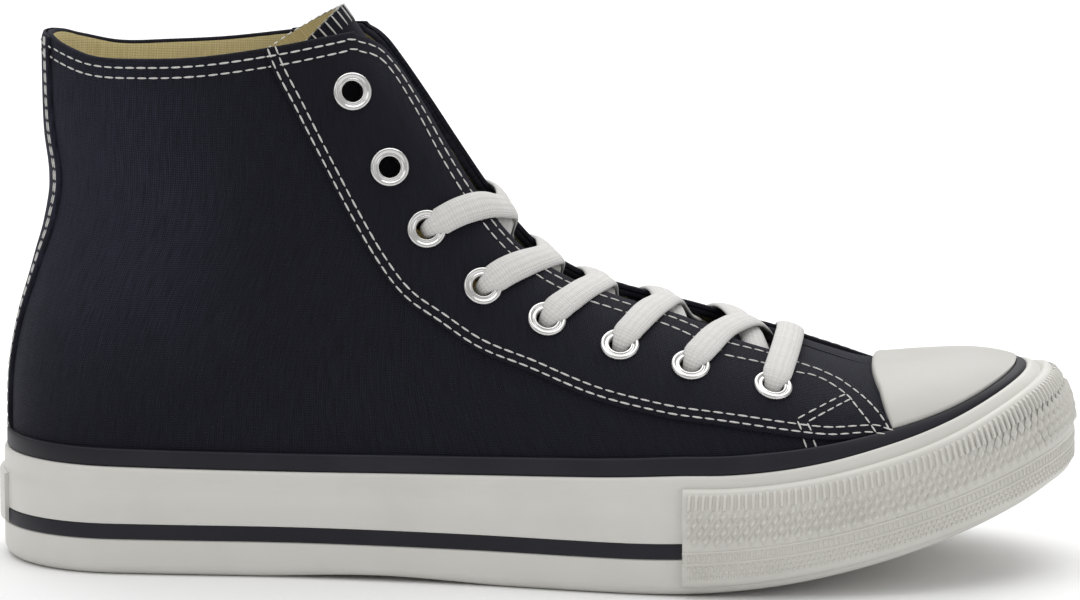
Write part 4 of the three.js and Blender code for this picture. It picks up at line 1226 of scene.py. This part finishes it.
upper_build = Build()
for lined, out in enumerate((0.0, -CANVAS)):
    wall = at_place(columns, wall_t, out, 1.0)
    clear = punched(wall)
    upper_build.grid(wall, wall_map, slot=lined, flip=lined == 1, keep=clear)
roll_turns = np.linspace(0, np.pi, 7)
roll_t = np.where(closed, top, reach[None] + np.sin(roll_turns)[:, None] * ROLL / rib_length)
roll_out = -ROLL * (1 - np.cos(roll_turns))[:, None]
roll_points = at_place(columns, roll_t, roll_out, 1.0)
open_cells = ~(closed[:-1] & closed[1:])
upper_build.grid(roll_points, np.stack([np.broadcast_to(around_map, roll_t.shape), roll_t * 3], -1),
                 keep=np.broadcast_to(open_cells, (len(roll_turns) - 1, len(open_cells))))
finish_piece(upper_build, "upper_canvas", [canvas, lining], ["upper"], angle=60)

# %% [markdown]
# ## Second layers
# The eyestays, the back stay and the toe cap are sewn or moulded onto the wall. They could be cut out of
# the wall's faces and thickened, but then their edges would follow its ribs. So each is a patch with ribs of
# its own between two edges, a little proud of the cloth below, with its border bent down to the wall.
# %% Second layers


def seam_line(shift, count=90):
    """The eyestay's lower seam in the side view, shifted down and back from its middle."""
    at = np.linspace(EYESTAY_SEAM["at"][0], EYESTAY_SEAM["at"][-1], count)
    x, z = at * LAST_LENGTH, COLLAR_HEIGHT * follow(EYESTAY_SEAM, "height", at)
    dx, dz = np.gradient(x), np.gradient(z)
    size = np.hypot(dx, dz)
    return x + shift * dz / size, z - shift * dx / size


SEAM_EDGE = seam_line(1.9)


def seam_start(c):
    """How far up a rib the eyestay begins."""

    def under(t):
        _, x, z = place(c, t)
        return np.interp(x, *SEAM_EDGE) - z

    return crossing(under, np.zeros_like(c), np.full_like(c, 1.0))


BORDER = np.array([0.0, 0.35, 0.9])  # distances from a patch's edge, in millimetres
BORDER_RISE = np.array([0.55, 0.9, 1.0])  # share of the full thickness there


def bordered(total, count):
    """Shares along a line of that length: close together at both ends, even between them."""
    ends = np.minimum(BORDER / np.maximum(total, 1e-3), 0.3)
    inner = np.linspace(ends[-1], 1 - ends[-1], count)[1:-1]
    return np.concatenate([ends, inner, 1 - ends[::-1]])


def border_rise(count):
    """Share of the full thickness along such a line."""
    flat = np.ones(count - 2)
    return np.concatenate([BORDER_RISE, flat, BORDER_RISE[::-1]])


LAYER_BASE = 0.05  # how far a layer's lowest edge stands off the wall


def patch(name, c, t, outer, material, replaced, soft=1.0, holes=False, meets=False):
    """A layer over a grid of places, with its border bent down; rows run up and columns run round.

    Where the patch meets itself on the instep line its upper edge stays up.
    """
    c, t = np.broadcast_arrays(c, t)
    up = border_rise(t.shape[0] - 4)
    if meets:
        up[-4:] = 1.0
    rise = np.minimum(up[:, None], border_rise(t.shape[1] - 4)[None])
    points = at_place(c, t, lerp(LAYER_BASE, outer, rise), soft)
    skirt = at_place(c, t, LAYER_BASE, soft)
    around = np.interp(np.mod(c, 2), columns, around_map)
    uv = np.stack([around, lengths(at_place(c, t), 0)], -1)
    build = Build()
    keep = punched(points) if holes else None
    build.grid(points, uv, keep=keep)
    for edge in (np.s_[0:1], np.s_[-1:])[: 1 if meets else 2]:
        strip = np.concatenate([skirt[edge], points[edge]])
        build.grid(strip, np.concatenate([uv[edge], uv[edge]]), flip=edge == np.s_[-1:])
    for edge in (np.s_[:, 0:1], np.s_[:, -1:]):
        strip = np.concatenate([skirt[edge], points[edge]], 1)
        build.grid(strip, np.concatenate([uv[edge], uv[edge]], 1), flip=edge == np.s_[:, -1:])
    finish_piece(build, name, [material], replaced, angle=70)


print("a border bends down over", BORDER[-1], "mm")

# %% [markdown]
# An eyestay is the strip that carries the eyelets. It lies between the throat's edge and a curved seam, and
# ends where the two meet, so those two places are looked for first.
# %% Eyestays


def eyestay_ends():
    """The positions round the shoe where the eyestay's two edges meet, behind and in front."""

    def open_at(c):
        return rib_end(c, eyestay_edge)[0] - seam_start(c)

    tries = np.linspace(0.05, 0.95, 400)
    inside = tries[open_at(tries) > 0.004]
    return inside.min(), inside.max()


def eyestay(name, side):
    """The eyestay of one side; the inner side's is its mirror image."""
    c = np.linspace(*eyestay_ends(), 300)
    low, high = seam_start(c), rib_end(c, eyestay_edge)[0]
    total = lengths(at_place(c, lerp(low, high, np.linspace(0, 1, 12)[:, None])), 0)[-1]
    t = lerp(low, high, np.stack([bordered(length, 34) for length in total], 1))
    if side > 0:
        c, t = 2 - c[::-1], t[:, ::-1]
    patch(f"eyestay_{name}_canvas", c, t, OVERLAY, canvas, [f"eyestay_{name}"], holes=True)


for name, side in SIDES.items():
    eyestay(name, side)

# %% [markdown]
# The back stay is a straight strip down the back seam, and the toe cap is smooth rubber between the trim and
# a curved line across the toe. Both are centred patches, so one half width is found for each height and the
# ribs are shared out between minus one and one.
# %% Back stay and toe cap
stay_t = np.linspace(0, 1, 90)


def past_stay(d):
    return BACK_STAY_HALF - half_width(*place(1 + d, stay_t)[1:])


stay_half = crossing(past_stay, np.zeros_like(stay_t), np.full_like(stay_t, 0.4))
stay_share = lerp(-1, 1, bordered(2 * BACK_STAY_HALF, 20))
patch("back_stay_canvas", 1 + stay_share * stay_half[:, None], stay_t[:, None], OVERLAY, canvas,
      ["back_stay"])


def cap_edge(t):
    """How far round from the toe tip the cap reaches at each height."""
    heights, places = np.array(CAP_LINE["height"][::-1]), np.array(CAP_LINE["at"][::-1])

    def ahead(c):
        _, x, z = place(c, t)
        return x - LAST_LENGTH * np.interp(z / COLLAR_HEIGHT, heights, places)

    return crossing(ahead, np.zeros_like(t), np.full_like(t, 0.6))


cap_t = np.linspace(0, 1, 64)
cap_half = cap_edge(cap_t)
cap_share = lerp(-1, 1, bordered(150.0, 120))
patch("toe_cap_rubber", cap_share * -cap_half[:, None], cap_t[:, None], CAP, cap_rubber,
      ["toe_cap"], soft=0.0, meets=True)

# %% [markdown]
# ## Tongue
# The tongue lies under the throat and stands above the collar's front. Its ribs could run round the shoe
# like the wall's, but a tongue is cut as a long flat strip. So it is laid out from the instep line: a place
# along the line, and a distance to the side.
# %% Tongue


def beside_ridge(ridge_x, distance):
    """The place of the side view at a sideways distance from the instep line."""
    ridge_x, distance = np.broadcast_arrays(np.asarray(ridge_x, float), np.asarray(distance, float))
    rise = ridge(ridge_x + 0.5) - ridge(ridge_x - 0.5)
    length = np.hypot(rise, 1)

    def at(depth):
        return ridge_x + rise / length * depth, ridge(ridge_x) - depth / length

    def past(depth):
        return np.abs(distance) - half_width(*at(depth))

    return at(crossing(past, np.zeros_like(ridge_x), np.full_like(ridge_x, 70.0)))


def over_throat(ridge_x, distance, out=0.0):
    """Points at a distance to the side of the instep line; below zero is the outer side."""
    side = np.where(np.asarray(distance) < 0, -1.0, 1.0)
    return on_last(side, *beside_ridge(ridge_x, distance), out)


TONGUE_TOP = float(crossing(lambda x: ridge(x) - COLLAR_HEIGHT - 9.6, 0.2 * LAST_LENGTH, 0.5 * LAST_LENGTH))
TONGUE_END = (THROAT_END + 0.045) * LAST_LENGTH
tongue_along = np.linspace(0, 1, 81)[:, None]
tongue_turn = np.linspace(-1, 1, 49)[None]
tongue_half = lerp(21.5, 31.0, tongue_along)
tongue_x = lerp(TONGUE_TOP, TONGUE_END, tongue_along)
tongue_x = tongue_x + 2.0 * np.abs(tongue_turn) ** 3 * (1 - tongue_along) ** 8
tongue_curl = tongue_turn**2 * (1 - smooth(tongue_along, 0, 0.3))
tongue_lean = np.where(tongue_turn[..., None] < 0, (-11.0, 0.0, -10.0), (-19.0, 0.0, -7.0))


def tongue_face(out):
    """The tongue's surface; its free top wraps backwards round the ankle at both sides."""
    face = over_throat(tongue_x, tongue_half * tongue_turn, out)
    return face + tongue_curl[..., None] * tongue_lean


tongue_build = Build()
tongue_front, tongue_back = tongue_face(TONGUE_OUT), tongue_face(TONGUE_OUT - TONGUE)
tongue_build.grid(tongue_front, flip=True)
tongue_build.grid(tongue_back, slot=1)
close_edges(tongue_build, tongue_front, tongue_back)
finish_piece(tongue_build, "tongue_canvas", [canvas, lining], ["tongue"])

# %% [markdown]
# The tongue's raw top edge is overcast with white thread, so that it can't fray, and a blank label is sewn
# on its front. The overcasting is two rows of short threads laid across the edge, one on the face and one
# on the crest.
# %% Tongue's edge and label
overcast = item_object("overcast", *capsule(5.4, 0.55, 0.5, turned=True))
edge_row = lerp(*tongue_face(TONGUE_OUT + 0.12)[:2], 0.8)
edge_ups = (tongue_front[1] - tongue_back[1]) / TONGUE
crest_row = tongue_face(TONGUE_OUT - TONGUE / 2)[0]
crest_ups = unit(tongue_front[0] - tongue_front[3])
crest = item_object("crest", *capsule(2.8, 0.6, 0.5, turned=True))
joined_piece("tongue_overlock", [
    repeated("front", [(edge_row, edge_ups)], overcast, 2.6, thread, 0.06, 3),
    repeated("crest", [(crest_row + crest_ups * 0.1, crest_ups)], crest, 2.6, thread, 0.05, 4),
], thread)
for shown in (overcast, crest):
    bpy.data.objects.remove(shown)

tag_x = np.linspace(114.0, 126.0, 14)[:, None]
tag_y = np.linspace(-13.0, 13.0, 25)[None]
tag_build = Build()
tag_top = over_throat(tag_x, tag_y, TONGUE_OUT + 0.9)
tag_low = over_throat(tag_x, tag_y, TONGUE_OUT)
tag_build.grid(tag_top, flip=True)
close_edges(tag_build, tag_top, tag_low)
finish_piece(tag_build, "tongue_label", [lace_cloth])

# %% [markdown]
# ## Eyelets
# An eyelet is a short metal tube, pressed flat on both sides of the cloth: a rolled ring with two bright
# rounds and a groove between them, a barrel through both layers, and a flared rim inside. A torus would miss
# the groove and the barrel, so one profile is turned about each hole's axis, as on a lathe.
# %% Eyelets
# Distance from the axis, and height above the canvas
EYELET_PROFILE = [
    (5.3, -0.35), (5.35, 0.1), (5.25, 0.5), (4.95, 0.8), (4.6, 0.88), (4.25, 0.72), (4.0, 0.45), (3.75, 0.42),
    (3.5, 0.62), (3.2, 0.66), (2.95, 0.45), (2.8, 0.0), (2.78, -1.5), (2.8, -3.2), (3.0, -3.7), (3.5, -3.9),
    (4.3, -3.8), (4.6, -3.5),
]
EYELET_TURNS = 49


def upright(outward):
    """Two directions across an axis."""
    first = unit(np.cross(outward, (0.0, 0.0, 1.0)))
    return first, np.cross(outward, first)


eyelet_build = Build()
angle = np.linspace(0, 2 * np.pi, EYELET_TURNS)[None, :, None]
radius, height = np.array(EYELET_PROFILE).T[..., None, None]
height = height + OVERLAY
for seat, outward in HOLES:
    first, second = upright(outward)
    ring = seat + outward * height + radius * (np.cos(angle) * first + np.sin(angle) * second)
    eyelet_build.grid(ring)
eyelet_names = [f"eyelet_{side}_{i + 1}" for side in SIDES for i in range(len(EYELETS["at"]))]
finish_piece(eyelet_build, "eyelets_metal", [nickel], eyelet_names, angle=80)

# %% [markdown]
# ## Lace
# Each run of the flat lace comes from inside an eyelet, slips out under the eyestay, crosses the tongue and
# the other eyestay, and dives into the next eyelet up from outside. The outer side's runs lie on top. The
# lowest pair is joined by one straight bar. Both ends stop inside the highest laced eyelets. A curve with a
# flat bevel would twist on the way, so the strip is laid from a middle line and a direction across it.
# %% Lace strip
LACE_WIDTH = 8.0
LACE_THICK = 1.7
# Distances along a hole's axis of the lace's middle line on its way out through an eyelet
PASSING = np.array([-3.2, -1.6, 0.0, 1.3, 2.3])


def ridge_above(x, z):
    """The instep place straight above a place of the side view."""

    def behind(r):
        return x - r + (z - ridge(r)) * (ridge(r + 0.5) - ridge(r - 0.5))

    return float(crossing(behind, x, x + 70.0))


def eyelet_facts(i, side):
    """Instep place, sideways distance, centre and axis of an eyelet, and the eyestay's edge beside it."""
    x, z = EYELETS["at"][i] * LAST_LENGTH, EYELETS["height"][i] * COLLAR_HEIGHT
    seat, outward = HOLES[(0 if side < 0 else len(EYELETS["at"])) + i]
    return ridge_above(x, z), float(half_width(x, z)), seat, outward, float(throat_half(x))


def softened(values, times=3):
    """Rounds the corners of a run of points, keeping its ends."""
    kernel = np.array([0.25, 0.5, 0.25])
    for _ in range(times):
        inner = np.stack([np.convolve(values[:, k], kernel, "valid") for k in range(values.shape[1])], -1)
        values = np.concatenate([values[:1], inner, values[-1:]])
    return values


def lace_strip(build, middle, across, wide, thick):
    """A flat strip with rounded edges along a line."""
    tangent = unit(np.gradient(middle, axis=0))
    across = unit(across - (across * tangent).sum(-1, keepdims=True) * tangent)
    up = np.cross(tangent, across)
    turn = np.linspace(0, 2 * np.pi, 29)
    x = signed_power(np.cos(turn), 0.6)
    y = signed_power(np.sin(turn), 0.8)
    ruffle = 0.10 * np.sin(np.linspace(0, 17, len(middle)) + random.uniform(0, 6))
    sag = -0.07 * np.outer(wide, x**2)
    flat = np.outer(wide / 2, x)
    high = np.outer(thick / 2 + ruffle * 0.4, y) + sag
    points = middle[:, None] + flat[..., None] * across[:, None] + high[..., None] * up[:, None]
    run = lengths(middle, 0)
    uv = np.stack(np.broadcast_arrays(run[:, None], (turn * 3.0)[None]), -1)
    build.grid(points, uv)
    for end, turned in ((0, True), (-1, False)):
        build.grid(np.stack([points[end], np.broadcast_to(middle[end], points[end].shape)]), flip=turned)


def strip_across(body, normal, before, after=0):
    """The strip's direction across, kept the same for its points inside the eyelets."""
    across = unit(np.cross(normal, np.gradient(body, axis=0)))
    return np.concatenate([np.repeat(across[:1], before, 0), across, np.repeat(across[-1:], after, 0)])


def gathered(run):
    """Width and thickness: near an eyelet the strip is drawn together and thickens."""
    wide = LACE_WIDTH * lerp(0.56, 1.0, smooth(run, 2.5, 11.0))
    return wide, LACE_THICK * lerp(1.5, 1.0, smooth(run, 2.0, 9.0))


print("lace:", LACE_WIDTH, "x", LACE_THICK, "mm")

# %% [markdown]
# A run is described by stops: how far to the side, and how far out, its middle line lies. It rests on the
# eyestay beside its eyelet, sinks into the throat, passes over or under the crossing run, and slips under
# the opposite eyestay.
# %% Lace runs


def lace_run(build, side, high_eyelet, low_eyelet, on_top):
    """One crossing run, from an upper eyelet of one side to under the lower eyelet of the other."""
    high_ridge, high_half, seat, outward, high_edge = eyelet_facts(high_eyelet, side)
    low_ridge, low_half, _, _, low_edge = eyelet_facts(low_eyelet, -side)
    middle_out = 2.6 if on_top else 0.6
    stops = [
        (high_half - 2.0, 2.9), (high_half - 6.0, 2.75), (high_edge + 2.0, 2.35), (high_edge - 1.5, 2.1),
        (0.0, middle_out), (-low_edge + 4.0, -2.2), (-low_edge, -2.95), (-low_half + 3.0, -2.95),
    ]
    sideways = np.linspace(stops[0][0], stops[-1][0], 64)
    reach, outs = [row[0] for row in stops[::-1]], [row[1] for row in stops[::-1]]
    out = np.interp(sideways, reach, outs)
    share = (high_half - sideways) / (high_half + low_half)
    ridge_x = lerp(high_ridge, low_ridge, share)
    body = over_throat(ridge_x, side * sideways, out)
    normal = over_throat(ridge_x, side * sideways, out + 1) - body
    middle = np.concatenate([seat + outward * PASSING[:, None], body])
    across = strip_across(body, normal, len(PASSING))
    run = lengths(middle, 0)
    wide, thick = gathered(run)
    wide = wide * (1 - 0.35 * smooth(run, run[-1] - 7, run[-1]))
    wide = wide * (1 + 0.03 * np.sin(run / 5.3 + high_eyelet * 2.1 + side))
    wobble = 0.35 * np.sin(run / 9.0 + high_eyelet + 2 * side) * smooth(run, 8, 16)
    lace_strip(build, softened(middle, 4) + across * wobble[:, None], softened(across, 3), wide, thick)
    return run[-1]


def lace_bar(build, i):
    """The straight bar across the lowest pair, into both eyelets from outside."""
    ridge_x, half, seat, outward, edge = eyelet_facts(i, -1.0)
    _, _, far_seat, far_outward, _ = eyelet_facts(i, 1.0)
    sideways = np.linspace(half - 2.0, -(half - 2.0), 60)
    out = np.interp(np.abs(sideways), [0, edge, half - 6, half - 2], [2.2, 2.4, 2.8, 2.9])
    body = over_throat(np.full(60, ridge_x), -sideways, out)
    normal = over_throat(np.full(60, ridge_x), -sideways, out + 1) - body
    end = far_seat + far_outward * PASSING[::-1, None]
    middle = np.concatenate([seat + outward * PASSING[:, None], body, end])
    across = strip_across(body, normal, len(PASSING), len(PASSING))
    run = lengths(middle, 0)
    wide, thick = gathered(np.minimum(run, run[-1] - run))
    lace_strip(build, softened(middle, 4), softened(across, 3), wide, thick)
    return run[-1]


lace_build = Build()
lace_length = 0.0
for i in range(FIRST_LACED, len(EYELETS["at"]) - 1):
    lace_length += lace_run(lace_build, 1.0, i, i + 1, False)
    lace_length += lace_run(lace_build, -1.0, i, i + 1, True)
lace_length += lace_bar(lace_build, len(EYELETS["at"]) - 1)
lace_names = [f"lace_crossing_{i + 1}" for i in range(5)] + ["lace_bar"]
finish_piece(lace_build, "lace_cotton", [lace_cloth], lace_names, angle=80)
print("lace shown:", round(lace_length), "mm")

# %% [markdown]
# ## Stitches
# Every seam is a line of separate stitches, and in the photo each one throws a small shadow. A texture
# would lose that, so they are real grains of thread. First come the helpers that lay a line on the shoe,
# shift it to both sides, space it evenly, and break it under the eyelets.
# %% Seam lines
STITCH_OUT = 0.08  # how far the stitches' middles stand off the cloth


def layer_out(points):
    """How far out the cloth's face lies: the second layer covers the eyestays and the back stay."""
    x, y, z = np.moveaxis(points, -1, 0)
    on_eyestay = z > np.interp(x, *SEAM_EDGE)
    on_stay = (np.abs(y) < BACK_STAY_HALF) & (x < LAST_LENGTH / 4)
    return np.where(on_eyestay | on_stay, OVERLAY, 0.0)


def seam_along(points, shifts, turned=1.0):
    """Rows of stitches beside a line on the last: each shift is a distance across it."""
    on, normal = settled(points)
    tangent = np.gradient(on, axis=0)
    across = turned * unit(np.cross(normal, tangent))
    rows = []
    for shift in shifts:
        flat = settled(on + across * shift)[0]
        rows.append(settled(flat, layer_out(flat) + STITCH_OUT, 1.0))
    return rows


def evenly(points, pitch=1.5):
    """The same line with even steps."""
    run = lengths(points, 0)
    return resampled(points, run, np.linspace(0, run[-1], max(3, int(run[-1] / pitch))))


def side_line(side, x, z):
    """A line drawn in the side view, laid on one side of the shoe."""
    return evenly(on_last(side, np.asarray(x, float), np.asarray(z, float)))


def cleared(lines, gap=5.6):
    """Lines broken where they would run under an eyelet or past the cloth's edges."""
    found = []
    for points, ups in lines:
        x, z = points[:, 0], points[:, 2]
        clear = (z < collar_z(x) - 0.9) | (x > COLLAR_FRONT)
        clear &= z > canvas_line(x) + 0.3
        for seat, _ in HOLES:
            clear &= np.linalg.norm(points - seat, axis=-1) > gap
        breaks = np.flatnonzero(np.diff(clear.astype(int))) + 1
        for part in np.split(np.arange(len(points)), breaks):
            if clear[part[0]] and len(part) > 2:
                found.append((points[part], ups[part]))
    return found


def in_side_view(row):
    """Rows are written as shares of the last's length and of the collar's height."""
    at, height = np.array(row).T
    return at * LAST_LENGTH, height * COLLAR_HEIGHT


print("stitches stand", STITCH_OUT, "mm off the cloth")

# %% [markdown]
# The rows follow the edges of the layers: a double row round the collar and the throat, which widens along
# the lacing, a double row along the eyestay's lower seam, cross seams at its tip, and a double row on each
# side of the back stay.
# %% Stitches
EDGE_ROWS = (2.4, 5.2)  # distances from the collar's edge
LACING_WIDER = (1.9, 4.2)  # what they grow by along the lacing
SEAM_ROWS = (-1.05, 1.05)
STAY_ROWS = (-0.5, 0.5)
# The throat's two rows go on past the lacing and turn down beside the toe cap
FRONT_ROWS = [
    [(0.697, 0.4311), (0.7564, 0.3968), (0.7762, 0.3836), (0.7942, 0.3692), (0.808, 0.3548), (0.8191, 0.3425),
     (0.828, 0.3304), (0.8358, 0.3164), (0.8415, 0.302)],
    [(0.693, 0.417), (0.7536, 0.3866), (0.7739, 0.3773), (0.7891, 0.3633), (0.8027, 0.3483), (0.8129, 0.3298),
     (0.8238, 0.3095), (0.8285, 0.299)],
]
CROSS_ROWS = [
    [(0.7981, 0.3477), (0.7787, 0.3353), (0.762, 0.3225)],
    [(0.8031, 0.3404), (0.7862, 0.3287), (0.772, 0.3175)],
]
SHORT_ROWS = [[(0.7605, 0.309), (0.7697, 0.269)], [(0.7695, 0.306), (0.7789, 0.2685)]]
seams = []
edge_c = np.linspace(0.0, 1.0, 900)
edge_top = rib_end(edge_c, eyestay_edge)[0]
_, edge_x, _ = place(edge_c, edge_top)
shown = edge_x < 0.694 * LAST_LENGTH
for side in SIDES.values():
    edge = evenly(at_place(edge_c if side < 0 else 2 - edge_c, edge_top)[shown])
    lacing = smooth(edge[:, :1] / LAST_LENGTH, 0.42, 0.58)
    seams += seam_along(edge, [row + wider * lacing for row, wider in zip(EDGE_ROWS, LACING_WIDER)], -side)
    for row in FRONT_ROWS:
        seams += seam_along(side_line(side, *in_side_view(row)), (0.0,))
    seams += seam_along(side_line(side, *seam_line(0.0)), SEAM_ROWS)
    for row in CROSS_ROWS + SHORT_ROWS:
        seams += seam_along(side_line(side, *in_side_view(row)), (0.0,))
    seams += seam_along(evenly(at_place(1 + side * stay_half * 0.84, stay_t)), STAY_ROWS)

stitch = item_object("stitch", *capsule(2.7, 0.52, 0.45))
sewn = repeated("seams", cleared(seams), stitch, 3.3, thread, 0.08, 5)
joined_piece("stitches", [sewn], thread)
bpy.data.objects.remove(stitch)

# %% [markdown]
# ## Floor, light and camera
# The photo shows a bright, even studio. A ring of lamps could make it, but four large soft lights and a
# white world give the same pale floor and soft shadow. The camera stands at the photo's angle: low, from the
# outer side and a little towards the toe, with a long lens.
# %% Floor, light and camera
floor_mesh = bpy.data.meshes.new("floor")
floor_mesh.from_pydata([(-4, -4, 0), (4, -4, 0), (4, 4, 0), (-4, 4, 0)], [], [(0, 1, 2, 3)])
floor = bpy.data.objects.new("floor", floor_mesh)
collection.objects.link(floor)
floor_mesh.materials.append(new_material("Floor", 0.9, **{"Base Color": (0.9, 0.9, 0.9, 1)})[0])

world = bpy.data.worlds.new("Studio")
world.use_nodes = True
lit = world.node_tree.nodes["Background"]
lit.inputs["Color"].default_value = (1, 1, 1, 1)
lit.inputs["Strength"].default_value = 0.6
seen = add_node(world.node_tree, "ShaderNodeBackground", {"Color": (1, 1, 1, 1), "Strength": 1.0})
rays = add_node(world.node_tree, "ShaderNodeLightPath")
both = add_node(world.node_tree, "ShaderNodeMixShader",
                {0: rays.outputs["Is Camera Ray"], 1: lit.outputs[0], 2: seen.outputs[0]})
world.node_tree.links.new(both.outputs[0], world.node_tree.nodes["World Output"].inputs["Surface"])
bpy.context.scene.world = world
bpy.context.scene.view_settings.view_transform = "Standard"


def soft_light(name, place_at, aim, size, power):
    """A rectangular lamp that looks at a point."""
    data = bpy.data.lights.new(name, "AREA")
    data.shape = "RECTANGLE"
    data.size, data.size_y = size
    data.energy = power
    made = bpy.data.objects.new(name, data)
    made.location = place_at
    made.rotation_euler = (Vector(aim) - Vector(place_at)).to_track_quat("-Z", "Y").to_euler()
    collection.objects.link(made)


soft_light("Key", (-0.7, -0.9, 1.0), (0, 0, 0.05), (0.9, 0.7), 2.0)
soft_light("Top", (0.0, 0.1, 1.4), (0, 0.1, 0), (1.6, 1.2), 11)
soft_light("Back", (0.0, 1.5, 1.4), (0, 1.2, 0), (2.4, 1.4), 22)
soft_light("Fill", (1.1, -0.8, 0.5), (0, 0, 0.06), (0.8, 0.8), 1.2)

eye, aim = Vector((0.1212, -1.3782, 0.290)), Vector((0.00176, 0, 0.07155))
camera_data = bpy.data.cameras.new("Camera")
camera_data.lens = 169.3
camera_data.sensor_width = 36
camera = bpy.data.objects.new("Camera", camera_data)
camera.location = eye
camera.rotation_euler = (aim - eye).to_track_quat("-Z", "Y").to_euler()
collection.objects.link(camera)
bpy.context.scene.camera = camera
print("camera", round((aim - eye).length, 3), "m away")
